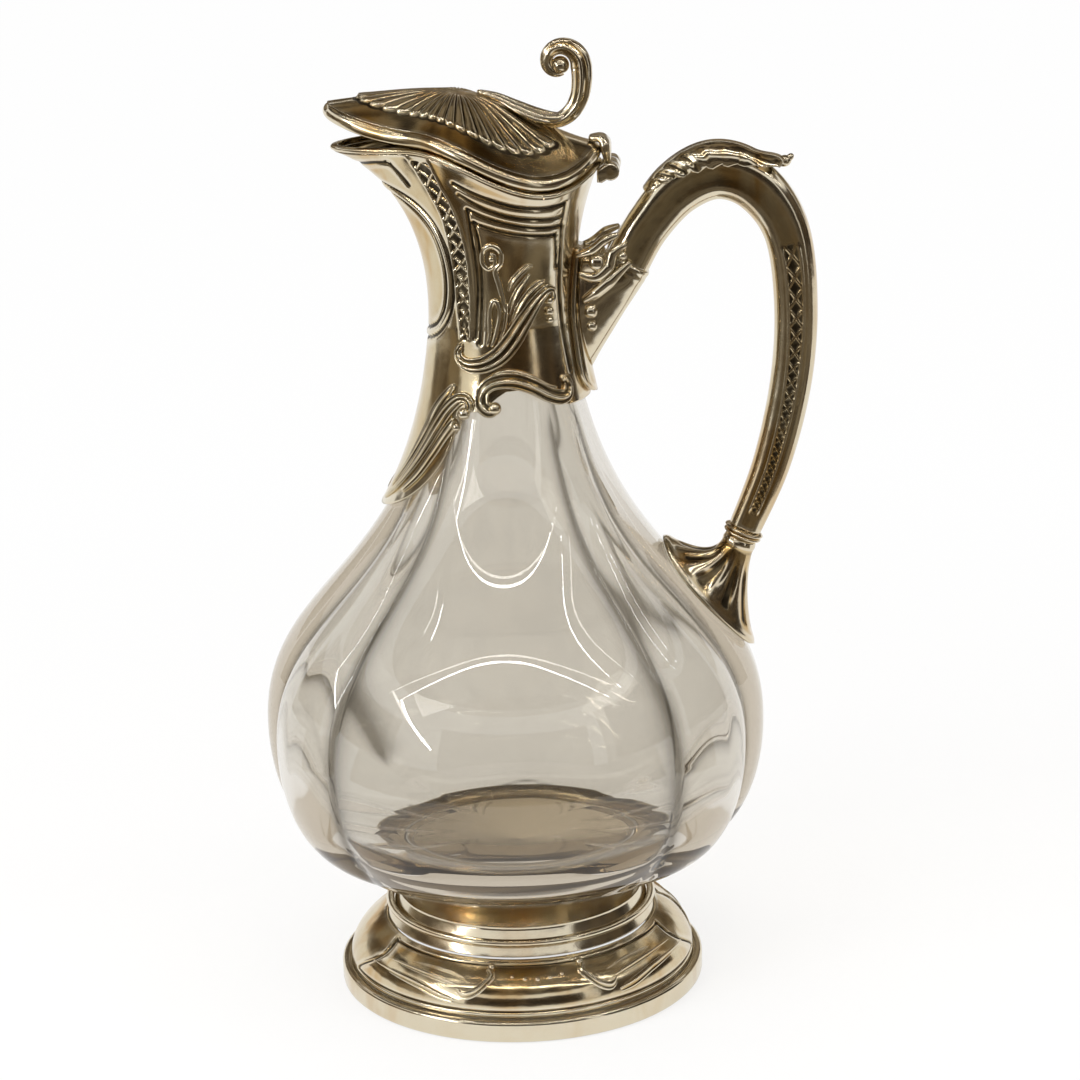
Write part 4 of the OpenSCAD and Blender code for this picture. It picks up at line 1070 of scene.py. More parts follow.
def ease_ends(grid, rows=3, inset=0.35):
    """Grid with its first and last rows drawn in, so that the ends look rounded."""
    mid = grid.mean(1, keepdims=True)
    k = np.minimum(np.arange(len(grid)), np.arange(len(grid))[::-1])
    pull = inset * np.clip(1 - k / rows, 0, 1) ** 2
    size = np.linalg.norm(grid - mid, axis=-1).mean(1)
    return mix(grid, mid, (pull / np.maximum(size, 1e-6))[:, None, None])


class JUG_OT_handle(bpy.types.Operator):
    """Cast loop handle: superellipse sections along a spline, with a sunken side band, leaf, socket and foot."""

    bl_idname = "jug.handle"
    bl_label = "Handle"

    def execute(self, context):
        self.grip()
        self.leaf()
        self.root()
        self.foot()
        return {"FINISHED"}

    def grip(self):
        """Grip with crossing ridges in a sunken band on each side of its long leg."""
        rows, columns = 560, 132
        u = np.linspace(0, 9, rows)
        angle = turn_steps(columns)
        mid, _, _, share = handle_frame(u)
        step = np.concatenate([[0], np.cumsum(np.linalg.norm(np.diff(mid, axis=0), axis=1))])
        uu, aa = np.meshgrid(u, angle, indexing="ij")
        length = np.repeat(step[:, None], columns, 1)
        a, b = grip_section(aa)
        across = a * GRIP_T * share[:, :1] / 2
        half = mix(2.1, 1.0, smooth((uu - 5) / 4))
        start, finish = step[np.searchsorted(u, 5.15)], step[-1] - 5
        run = smooth((length - start) / 2.5) * smooth((finish - length) / 2.5)
        s = across / half
        side = smooth((1 - np.abs(s)) * half / 0.5) * (np.abs(b) > 0.5)
        pitch = mix(7.4, 3.6, (length - start) / (finish - start))
        turn = np.abs(np.mod((length - start) / np.maximum(pitch, 2), 2) - 1) * 2 - 1
        cross = np.minimum(np.abs(s - turn), np.abs(s + turn)) * half * 0.75
        lift = run * side * (-0.42 + 0.5 * bell(cross, 0.5))
        edge = bell((np.abs(s) - 1.15) * half, 0.35) * (np.abs(b) > 0.4)
        lift += 0.28 * run * edge
        grid = ease_ends(handle_point(uu, aa, lift))
        piece("handle_loop", [closed(grid)], "jug", "silver", ["handle_grip"], passes=16, depth=0.16)

    def leaf(self):
        """Acanthus leaf over the bend: a lens-shaped sheet with serrated edges, fanned flutes and a bud."""
        rows, columns = 150, 60
        v = np.linspace(0, 1, rows)[:, None]
        k = np.linspace(-1, 1, columns)[None]
        u = mix(1.55, 4.05, v) + 0 * k
        saw = np.abs(np.mod(v * 8, 1) - 0.35)
        half = mix(20, 80, np.sin(np.pi * np.minimum(1, v * 0.92 + 0.04)) ** 0.7) * (1 - 0.16 * saw)
        phase = v * 9 - 1.1 * np.abs(k) ** 1.3
        flute = 0.5 + 0.5 * np.cos(2 * np.pi * phase)
        body = 0.7 + 0.9 * np.sin(np.pi * v)
        near = smooth((0.62 - v) / 0.4) * smooth(v / 0.08) + 0.1
        lift = 0.35 + body * (1 - 0.75 * np.abs(k) ** 2.4)
        lift = lift - 0.75 * near * flute * smooth((np.abs(k) - 0.15) / 0.4) * np.sin(np.pi * v)
        lift = lift - 0.2 * bell(k, 0.06) * smooth((1 - v) * 6)
        curl = 3.0 * smooth((v - 0.8) / 0.2) ** 1.5
        top = handle_point(u, k * half, np.maximum(lift, 0.15) + curl)
        under = handle_point(u, k * half, -0.1 + 0 * k + curl)
        grid = np.concatenate([top, under[:, -2:0:-1]], 1)
        tip = handle_point(np.array([4.07]), np.array([0.0]), np.array([3.4]))[0]
        shells = [closed(grid), ball(tip, 1.7, 1.2, (1, 0, 0.2)), ball(tip + (1.6, 0, 1.0), 1.0, 1.3, (1, 0, 1))]
        piece("bend_leaf", shells, "jug", "silver", ["handle_leaf"], passes=8)

    def root(self):
        """Back plate on the neck and the cast socket between it and the handle, with scrolls and beads."""
        rows, columns = 60, 40
        low, high = HEM_Z + 0.5, NECK_Z + 19
        t = np.linspace(0, 1, rows)[:, None]
        z = mix(low, high, t)
        half = 23 * mix(1, 0.72, smooth((t - 0.5) * 2)) * np.sqrt(1 - 0.97 * np.clip(1 - t / 0.2, 0, 1) ** 2)
        j = np.linspace(-1, 1, columns)[None]
        angle = 180 + half * j
        face = collar_radius(180.0, z) + GAP + 1.8
        crown = -0.75 * np.abs(j) ** 6 - 0.55 * bell(np.abs(j) - 0.86, 0.05)
        outer = polar(face + crown, angle, z + 0 * j)
        inner = polar(collar_radius(angle, z) + 0.02, angle, z + 0 * j)
        strap = np.concatenate([outer, inner[:, ::-1]], 1)
        piece("back_plate", [closed(strap)], "jug", "silver", ["handle_strap"], passes=6)
        mid, out, way, _ = handle_frame(np.array([0.0]))
        mid, out, way = mid[0] - way[0] * 0.05, out[0], way[0]
        columns = 72
        turn = turn_steps(columns)
        low, high, half_w = low + 7, high - 1.5, GRIP_W / 2 + 1.2

        def back(share):
            zz = mix(low, high, 0.5 + 0.5 * share * np.cos(np.radians(turn)))
            y = share * half_w * np.sin(np.radians(turn))
            wall = collar_radius(180.0, zz) + GAP + 1.8
            return np.stack([np.sqrt(wall**2 - y**2), y, zz], -1)

        a, b = grip_section(turn)
        arm = mid + out * (a * GRIP_T * 0.56)[:, None] + np.stack([0 * b, b * GRIP_W * 0.54, 0 * b], -1)
        base = back(1.0)
        s = np.linspace(0, 1, 46)[:, None, None]
        body = bezier([base, mix(base, arm, 0.4), arm - way * 4, arm], s)
        ring = bell(s - 0.94, 0.035) + 0.8 * bell(s - 0.82, 0.03)
        flute = 0.35 * (0.5 + 0.5 * np.cos(np.radians(turn) * 6))[None, :, None]
        groove = flute * smooth((0.75 - s) / 0.3) * smooth(s / 0.15)
        middle = body.mean(1, keepdims=True)
        body = body + unit(body - middle) * (0.15 * ring - groove)
        seat = np.stack([back(0.3), back(0.66)])
        shells = [closed(ease_ends(np.concatenate([seat, body]), 2, 0.2))]
        for y in (-1, 1):
            for points, radii, steps in ROOT_SCROLLS:
                shells.append(tube(np.array(points) * (1, y, 1), radii, steps))
            for place, radius, squash, forward in ROOT_BEADS:
                shells.append(ball(np.array(place) * (1, y, 1), radius, squash, (forward, y, 0)))
        piece("root_socket", shells, "jug", "silver", ["handle_socket"], passes=7)

    def foot(self):
        """Ring at the handle's lower end and its fluted trumpet foot on the glass."""
        _, out, way, _ = handle_frame(np.array([9.0]))
        out, way = out[0], way[0]
        side = np.array((0.0, 1.0, 0.0))
        r = GRIP_T * 0.38
        t = np.linspace(0, 1, 33)
        bulge = 1.2 * np.abs(np.sin(2 * np.pi * t)) ** 0.7 * mix(1, 0.7, t)
        outline = np.stack([r + bulge, mix(GAP * 0.4, FERRULE_H + GAP * 0.6, t)], -1)
        a = turn_steps(64, 2 * np.pi)
        ring = outline[:, :1, None] * (np.cos(a)[None, :, None] * out + np.sin(a)[None, :, None] * side)
        grid = HANDLE_END + way * outline[:, 1][:, None, None] + ring
        piece("lower_ring", [closed(grid)], "jug", "silver", ["handle_ferrule"], passes=5)
        columns = 120
        turn = np.radians(turn_steps(columns))
        lift = GAP + 0.1 + 0.8 + GAP

        def pad(share, height):
            z = PAD_Z + share * PAD_H / 2 * np.cos(turn)
            y = share * PAD_W / 2 * np.sin(turn)
            angle = 180 + np.degrees(np.arcsin(y / glass_radius(z)))
            return polar(glass_radius(z) - groove_cut(angle, z, GROOVE) + height, angle, z)

        mid = HANDLE_END + way * (2 * GAP + FERRULE_H)
        top = mid - out * (GRIP_T * 0.36 * np.cos(turn))[:, None] + side * (GRIP_T * 0.36 * np.sin(turn))[:, None]
        foot = pad(1, lift + 1)
        normal = unit(np.array((1.0, 0.0, 0.85)))
        waist = mix(foot, pad(0, lift), 0.45) + normal * 4.5
        s = np.linspace(0, 1, 60)[:, None, None]
        flare = bezier([top, top + way * 8, waist, foot], s)
        centre = flare.mean(1, keepdims=True)
        flute = (0.5 + 0.5 * np.cos(turn * 10))[None, :, None] ** 1.5
        flare = flare - unit(flare - centre) * 0.75 * flute * smooth((s - 0.18) / 0.3) * smooth((0.93 - s) / 0.12)
        rim = bell(s - 0.96, 0.03) * 0.35 + 0.45 * bell(s - 0.06, 0.05)
        flare = flare + unit(flare - centre) * rim
        face = np.stack([pad(1, lift), pad(0.66, lift), pad(0.3, lift)])
        piece("trumpet_foot", [closed(np.concatenate([flare, face]))], "jug", "silver", ["handle_terminal"], passes=8)


# ---------------------------------------------------------------- lid
LID_TOP = (10.8, 270.3)
LID_RIM_H = 4.0
LID_GAP = 0.4
BEAK = 7.5
RIM_OUT = 0.9
RIM_W = 3.4
LID_SET = 1.3

# Leaves beside the thumbpiece, as x, distance from the middle and lift from the lid, with their radii and rows
THUMB_LEAVES = (
    ([(-5.5, 0.6, 0.9), (0, 1.9, 1.1), (6, 3.3, 1.0), (12, 4.0, 1.6), (17, 2.9, 3.2), (20, 1.8, 5.5)],
     [0.4, 0.9, 1.1, 1.1, 0.9, 0.5], 60),
    ([(1, 2.6, 0.6), (6, 5.0, 0.5), (11, 6.0, 0.8), (15.5, 4.8, 1.8)], [0.4, 0.8, 0.9, 0.4], 50),
)
KNUCKLE = 2.5
KNUCKLE_END = 3.6
LUG_START = 3.85
LUG_END = 8.8


def lid_edge(angle, inset):
    """Edge of the lid's dome, which rides on the rim."""
    w = spout_share(angle)
    r = lip_radius(angle) + 1.8 * w + RIM_OUT - LID_SET - inset
    return r, lip_height(angle) + LID_GAP + BEAK * w**1.4 + LID_RIM_H + GAP


def lid_surface(angle, share, inset=0.0):
    """Lid surface: share runs from the top to the edge; the height falls by a mix of power and cosine curves."""
    r, z = lid_edge(angle, inset)
    c = np.cos(np.radians(angle))
    soft = 0.5 * (1 - share**1.2) + 0.25 * (1 + np.cos(np.pi * share))
    fall = mix(soft, 1 - share**2.2, (1 + c) / 2)
    edge = polar(r, angle, z)
    top = np.array((-LID_TOP[0], 0.0, LID_TOP[1]))
    point = top + (edge - top) * share[..., None]
    point[..., 2] = mix(edge[..., 2], LID_TOP[1], fall)
    return point


class JUG_OT_lid(bpy.types.Operator):
    """Hinged lid: teardrop dome with a fan of blades, its rim, the thumbpiece and the hinge."""

    bl_idname = "jug.lid"
    bl_label = "Lid"

    def execute(self, context):
        self.dome(context.scene.jug_silver.blades)
        self.rim()
        self.thumbpiece()
        self.hinge()
        return {"FINISHED"}

    def dome(self, blades):
        """Dome whose blades are rounded ridges from the top, each with a rounded, raised end."""
        columns, rows = blades * 14, 120
        u = np.arange(columns) / columns
        angle = 360 * u - 22 * np.sin(2 * np.pi * u)
        share = np.linspace(0.004, 1, rows)[:, None]
        aa, ss = np.broadcast_arrays(angle[None], share)
        point = lid_surface(aa, ss)
        place = np.abs(np.mod(u * blades, 1) - 0.5) * 2
        crown = (1 - place**3.6)[None]
        end = 0.79 - 0.05 * (1 - np.sqrt(np.clip(1 - place**2, 0, 1)))[None]
        back = smooth((np.abs(aa - 180) - 20) / 14)
        body = smooth((end - ss) / 0.025) * smooth((ss - 0.03) / 0.2)
        blade = body * (0.3 + 0.85 * crown * smooth(ss / 0.35)) + 0.12 * body * bell(ss - end + 0.05, 0.04)
        point[..., 2] += back * blade * 0.85
        under = np.broadcast_arrays(angle[None], np.linspace(1, 0.004, 16)[:, None])
        inner = lid_surface(*under, RIM_W - LID_SET + 0.2)
        inner[1:, :, 2] -= 1.2
        piece(
            "lid_fan", [closed(np.concatenate([point, inner]))], "lid", "silver", ["lid_dome"], passes=10, depth=0.10,
        )

    def rim(self):
        """Rounded rim and the ring under it, carried round the lip's line."""
        h = LID_RIM_H
        section = rounded([
            (RIM_OUT - 1.0, 0), (RIM_OUT - 0.1, 0.25 * h), (RIM_OUT, 0.55 * h), (RIM_OUT - 0.6, 0.84 * h),
            (RIM_OUT - 1.7, h), (RIM_OUT - RIM_W, 0.97 * h), (RIM_OUT - RIM_W, 0),
        ], 6, 0.0) + (0, LID_GAP)
        piece("lid_edge", [closed(lip_ring(section, 320, BEAK), True)], "lid", "silver", ["lid_rim"], passes=5)
        low, high, outer = LID_GAP - 1.8, LID_GAP + 0.6 * h, RIM_OUT - RIM_W - GAP
        ring = rounded([(outer - 1.9, low), (outer, high), (outer - 2.8, high), (outer - 2.8, low)], 4, 0.9)
        piece("lid_seat_ring", [closed(lip_ring(ring, 240, BEAK), True)], "lid", "silver", ["lid_bezel"], passes=5)

    def thumbpiece(self):
        """Lever: a fluted leaf on the lid that rises near the hinge and curls forward round a bud."""
        middle = np.array((18.0, 0.0, LID_TOP[1] + 7.4))

        def lid_z(x):
            share = np.array([(x + LID_TOP[0]) / (LIP + LID_TOP[0])])
            return float(lid_surface(np.array([180.0]), share)[0, 2])

        stem = np.array([
            (0, 1.1, -4.1), (5, 1.5, -5.7), (10, 1.8, -7.7), (14, 2.0, -9.0), (18, 2.3, -8.7),
            (21.4, 2.7, -6.3), (23.6, 3.0, -2.3), (24.4, 3.2, 2.0), (24.4, 3.3, 6.4),
        ]) + (0, 0, LID_TOP[1])
        lower = spline(stem, np.linspace(0, 7.9, 84))
        turn = np.linspace(-8, 290, 110)
        r = 6.2 * np.exp(-0.0032 * turn)
        a = np.radians(turn)
        upper = np.stack([middle[0] + r * np.cos(a), r * 0.52, middle[2] + r * np.sin(a)], -1)
        rows = np.concatenate([lower, upper])
        path = np.stack([rows[:, 0], 0 * rows[:, 0], rows[:, 2]], -1)
        way = along(path)
        out = np.stack([-way[:, 2], 0 * way[:, 0], way[:, 0]], -1)
        wide = np.interp(np.arange(len(rows)), [0, 45, 84, len(rows)], [1.9, 1.4, 1.1, 1.0])
        start = np.sqrt(np.clip(np.arange(8) / 8, 0.05, 1))
        thick = rows[:, 1] * np.concatenate([start, np.ones(len(rows) - 8)])
        a = turn_steps(48, 2 * np.pi)
        flute = 1 - 0.16 * (0.5 + 0.5 * np.cos(6 * a))[None] * smooth((165 - np.arange(len(rows))[:, None]) / 60)
        section = np.stack([(thick * wide)[:, None] * np.sin(a) * flute, thick[:, None] * np.cos(a) * flute], -1)
        lever = closed(swept(path, out, section, np.broadcast_to((0.0, 1.0, 0.0), path.shape)))
        shells = [lever, ball(middle + (0.4, 0, -0.6), 2.6, 1.15, (0, 1, 0), 24, 36)]
        for y in (-1, 1):
            for points, radii, steps in THUMB_LEAVES:
                shells.append(tube([(x, y * off, lid_z(x) + lift) for x, off, lift in points], radii, steps))
        piece("thumb_scroll", shells, "lid", "silver", ["thumbpiece"], passes=8)

    def hinge(self):
        """Round middle knuckle with a strap over the lid's rim, and the two outer knuckles on the neck."""
        t = np.radians(np.arange(48) * 7.5)
        centre = np.array(HINGE)
        u = np.linspace(0, 5, 44)
        middle = [
            (31.2, 0, 248.6), (31.2, 0, 250.6), (30.9, 0, 252.8), (30.6, 0, 254.8), (29.2, 0, 256.2),
            (26.0, 0, 256.3),
        ]
        path = spline(middle, u)
        way = along(path)
        out = np.stack([way[:, 2], 0 * u, -way[:, 0]], -1)
        c, s = np.cos(t), np.sin(t)
        thick = np.interp(u, [0, 1, 2, 3, 4, 5], [1.15, 1.15, 1.5, 1.6, 1.2, 0.6])[:, None]
        thick = thick * np.sign(s) * np.abs(s) ** 0.6
        wide = np.interp(u, [0, 1, 2, 3, 5], [KNUCKLE_END, KNUCKLE_END, 4.6, 5.0, 2.6])[:, None]
        wide = wide * np.sign(c) * np.abs(c) ** 0.4
        strap = swept(path, out, np.stack([wide, thick], -1), np.broadcast_to((0.0, 1.0, 0.0), path.shape))
        knuckle = slab(centre + KNUCKLE * np.stack([c, s], -1), -KNUCKLE_END, KNUCKLE_END)
        shells = [knuckle, closed(ease_ends(strap, 3, 0.5))]
        piece("hinge_strap", shells, "lid", "silver", ["lid_leaf"], passes=4)
        arc = np.radians(np.linspace(-115, 130, 40))
        root = [(29.4, 248.8), (28.4, 248.0), (28.4, 244.8), (29.8, 244.6)]
        lug = np.concatenate([centre + KNUCKLE * np.stack([np.cos(arc), np.sin(arc)], -1), root])
        shells = [slab(lug, LUG_START, LUG_END), slab(lug, -LUG_END, -LUG_START)]
        piece("hinge_lugs", shells, "jug", "silver", ["hinge_ears"], passes=4)


# ---------------------------------------------------------------- foot
FOOT = 55.0
RIM_H = 6.5
DOME_TOP = 41.0
DOME_TOP_Z = 20.5
WAIST = 36.5
WAIST_Z = 28.0
CUP = 42.0
FOOT_WALL = 1.4
WIRE = 1.2
PANEL_ANGLE = 99
DOME = [(FOOT - 2.8, RIM_H + GAP), (FOOT - 2.2, RIM_H + 6), (DOME_TOP + 6, DOME_TOP_Z - 2.5), (DOME_TOP, DOME_TOP_Z)]
COVE = [
    (DOME_TOP - 0.6, DOME_TOP_Z + GAP), (DOME_TOP - 1.6, DOME_TOP_Z + GAP + 2.2), (WAIST + 2, WAIST_Z - 4),
    (WAIST, WAIST_Z),
]
DOME_LINE = profile(DOME, 60)


def dome_height(r):
    """Height of the foot's dome at a radius."""
    return np.interp(-r, -DOME_LINE[:, 0], DOME_LINE[:, 1])


def on_dome(angle, r, lift):
    """Point on the foot's dome, lifted from it."""
    return polar(r + 0.55 * lift, angle, dome_height(np.asarray(r, float)) + 0.85 * lift)


# One swirl of the dome: its scroll and three flutes, as points of angle, radius, half width and rise
SWIRL = [
    (77.4, 49.6, 0.6, 0.6), (80.4, 50.8, 0.9, 0.9), (84.4, 50.2, 1.1, 1.2), (87.6, 48.4, 1.1, 1.2),
    (89.6, 46.4, 1.0, 1.1), (87.6, 44.6, 0.8, 0.9),
]
SWIRL_FLUTES = (
    [(78, 51.6, 0.5, 0.5), (71, 51.2, 0.9, 0.9), (62, 50.4, 1.0, 1.0), (51, 50, 0.8, 0.8), (38, 50, 0.3, 0.4)],
    [(78.6, 49.4, 0.5, 0.5), (71, 48.6, 0.9, 0.9), (62, 48, 0.9, 0.9), (52, 47.8, 0.6, 0.6), (44, 48, 0.3, 0.3)],
    [(80, 47.6, 0.4, 0.4), (73, 46.6, 0.7, 0.8), (65, 46.2, 0.7, 0.7), (57, 46.4, 0.3, 0.3)],
)
# Beads on the dome, as angle, radius of their place and own radius
DOME_BEADS = (
    (82, 44, 1.1), (116, 44, 1.1), (90, 46.6, 0.7), (94.5, 47.2, 0.8), (99, 47.4, 0.9), (103.5, 47.2, 0.8),
    (108, 46.6, 0.7),
)


class JUG_OT_foot(bpy.types.Operator):
    """Domed foot: revolved rim, dome with two ornamental panels, wire, cup and four cast swirls."""

    bl_idname = "jug.foot"
    bl_label = "Foot"

    def execute(self, context):
        depth = context.scene.jug_silver.chasing
        inner = FOOT - 2.8 - FOOT_WALL
        rim = [
            (inner, 0), (FOOT - 1.4, 0), (FOOT - 0.6, 0.15), (FOOT - 0.15, 0.6), (FOOT, 1.3),
            (FOOT, RIM_H - 1.2), (FOOT - 0.15, RIM_H - 0.5), (FOOT - 0.6, RIM_H - 0.1), (FOOT - 1.2, RIM_H),
            (inner, RIM_H),
        ]
        piece("rim_band", [closed(revolved(rim, 300), True)], "jug", "silver", ["foot_rim"], passes=3)
        self.dome(depth)
        self.cup()
        shells = []
        for far in (False, True):
            for way, start in ((1, -7), (-1, 205)):
                for line in (SWIRL, *SWIRL_FLUTES):
                    points = np.array(line) * (way, 1, 1, 1) + (start, 0, 0, 0)
                    shells.append(stroke(points, 60, 20, 2, 0.4, place=on_dome, far=far))
            side = -1 if far else 1
            for angle, radius, size in DOME_BEADS:
                shells.append(ball(on_dome(side * angle, radius, 0.4), size, 1.0, (0, -side, 1)))
        piece("foot_swirls", shells, "jug", "silver", ["foot_sprays"], passes=5)
        return {"FINISHED"}

    def cup(self):
        """Waisted cup that holds the glass, the plaster bed inside it and the wire round its waist, all revolved."""
        bend = [(WAIST + 0.4, mix(WAIST_Z, BOWL_Z, 0.4)), (CUP - 2, mix(WAIST_Z, BOWL_Z, 0.7))]
        flare = profile([(WAIST, WAIST_Z), *bend, (CUP, BOWL_Z - GAP)], 20, 1)
        bore, axis = STUB + COLLAR_GAP, 0.01
        inside = [
            (CUP - 0.5, BOWL_Z - GAP + 0.1), (CUP - 1.4, BOWL_Z - GAP - 0.2), (bore, BOWL_Z - 5), (bore, WAIST_Z),
            (axis, WAIST_Z), (axis, WAIST_Z - FOOT_WALL), (WAIST - 3, WAIST_Z - FOOT_WALL), (
                DOME_TOP - 3.2, DOME_TOP_Z + GAP,
            ),
        ]
        cup = closed(revolved(np.concatenate([profile(COVE, 26), flare, inside]), 256), True)
        # Painted highlight: the cup's recess is -1 all over, which lightens it halfway to the pale ridge colour and
        # keeps tarnish off it.
        piece("cup", [cup], "jug", "silver", ["foot_cup"], painted_light=np.full(len(cup[0]), -1.0))
        bed = [
            (axis, WAIST_Z + 0.1), (bore - 0.2, WAIST_Z + 0.1), (bore - 0.2, BOWL_Z - 5.2),
            (STUB + 0.2, BOWL_Z - 5), (STUB + 0.2, STUB_Z - 0.2), (axis, STUB_Z - 0.2),
        ]
        piece("cup_bed", [closed(revolved(bed, 128), True)], "jug", "plaster", ["foot_cement"])
        seat = bezier([np.array(p) for p in COVE], 0.6)
        a = np.linspace(0, 2 * np.pi, 29)[:-1]
        hoop = seat + (WIRE + 0.05, WIRE / 2) + WIRE * np.stack([np.cos(a), np.sin(a)], -1)
        piece("waist_wire", [closed(revolved(hoop, 256), True)], "jug", "silver", ["foot_bead"], passes=3)

    def dome(self, depth):
        """Dome with a raised panel on its near and far side, inside a cut line that turns up to a cusp."""
        rows, columns = 90, 480
        angle = turn_steps(columns)
        t = np.linspace(0, 1, rows)[:, None]
        line = bezier([np.array(p) for p in DOME], t)
        aa, tt = np.broadcast_arrays(angle[None], t)
        side = np.abs(around(aa) - PANEL_ANGLE)
        edge = mix(78.0, 66.0, smooth(tt / 0.85)) - 4 * np.sin(np.pi * np.clip(tt, 0, 1)) ** 2
        mm = (edge - side) * line[:, :1] * np.pi / 180
        inside = smooth(mm / 2.2)
        bulge = 0.55 * inside * np.sin(np.pi * np.clip((tt - 0.05) / 0.8, 0, 1)) ** 1.5
        sides = -depth * 1.6 * bell(mm, 0.55) * smooth((tt - 0.05) / 0.1) * smooth((0.95 - tt) / 0.1)
        rings = -depth * (1.3 * bell(tt - 0.10, 0.022) + 1.2 * bell(tt - 0.88, 0.02)) * smooth((mm + 0.6) / 0.8)
        lift = (bulge + sides + rings) * (smooth(tt / 0.03) * smooth((1 - tt) / 0.03))
        slope = np.gradient(line, axis=0)
        normal = unit(np.stack([slope[:, 1], -slope[:, 0]], -1))
        r = line[:, :1] + normal[:, :1] * lift
        z = line[:, 1:] + normal[:, 1:] * lift
        outer = polar(r, aa, z)
        back = profile(DOME, 12)[::-1] - (FOOT_WALL, 1.1)
        back[-1, 1] += 1.1
        shell = closed(np.concatenate([outer, revolved(back, columns)]), True)
        piece("foot_shell", [shell], "jug", "silver", ["foot_dome"], passes=8, depth=0.10)


class JUG_OT_fittings(bpy.types.Operator):
    """Finish of the two pieces whose modelled shape is kept: hinge pin and the plaster pad of the handle's foot."""

    bl_idname = "jug.fittings"
    bl_label = "Hinge and plaster"

    def execute(self, context):
        for name, finish in (("hinge_pin", "silver"), ("terminal_cement", "plaster")):
            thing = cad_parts[name]
            material = material_of(finish)
            if thing.material_slots:
                for place in thing.material_slots:
                    place.material = material
            else:
                thing.data.materials.append(material)
        return {"FINISHED"}


# ---------------------------------------------------------------- stage
def area_lamp(name, place, aim, size, power, colour=(1, 1, 1)):
    """Rectangular lamp at a place, aimed at a point."""
    lamp = bpy.data.lights.new(name, "AREA")
    lamp.shape, lamp.energy, lamp.color = "RECTANGLE", power, colour
    lamp.size, lamp.size_y = size
    thing = add_object(name, lamp)
    place, aim = Vector(place), Vector(aim)
    thing.matrix_world = Matrix.Translation(place) @ (aim - place).to_track_quat("-Z", "Z").to_matrix().to_4x4()
    return thing


def card(name, near, far, start, end, dark, light, scale=3.0, through=False):
    """Card that only mirrors see, and glass too when through is set: the line from near to far, each a radius and
    a height, turned from the start to the end angle, which count from the camera's side."""
    columns, rows = 49, 5
    a = np.radians(np.linspace(start, end, columns))[:, None]
    t = np.linspace(0, 1, rows)[None]
    r, z = mix(near[0], far[0], t) + 0 * a, mix(near[1], far[1], t) + 0 * a
    grid = np.stack([r * np.sin(a), -r * np.cos(a), z], -1)
    index = np.arange(columns * rows).reshape(columns, rows)
    faces = np.stack([index[:-1, :-1], index[1:, :-1], index[1:, 1:], index[:-1, 1:]], -1).reshape(-1, 4)
    mesh = bpy.data.meshes.new(name)
    mesh.from_pydata(grid.reshape(-1, 3).tolist(), [], faces.tolist())
    thing = add_object(name, mesh)
    material, tree, shader = new_material(name + "_felt")
    shader.inputs["Roughness"].default_value = 0.9
    fibre = noise(tree, object_place(tree), scale, 2.0, 0.4)
    tone = blend_colour(tree, span(tree, fibre, 0.4, 0.62), (*dark, 1), (*light, 1))
    tree.links.new(tone, shader.inputs["Base Color"])
    mesh.materials.append(material)
    thing.visible_camera = False
    thing.visible_diffuse = False
    thing.visible_transmission = through
    thing.visible_shadow = False


def seen_ray(tree):
    """1 on rays from the camera and on mirror and glass rays that show the background, and 0 otherwise."""
    path = tree.nodes.new("ShaderNodeLightPath")
    either = math_node(tree, "MAXIMUM", path.outputs["Is Camera Ray"], path.outputs["Is Glossy Ray"])
    return math_node(tree, "MAXIMUM", either, path.outputs["Is Transmission Ray"])


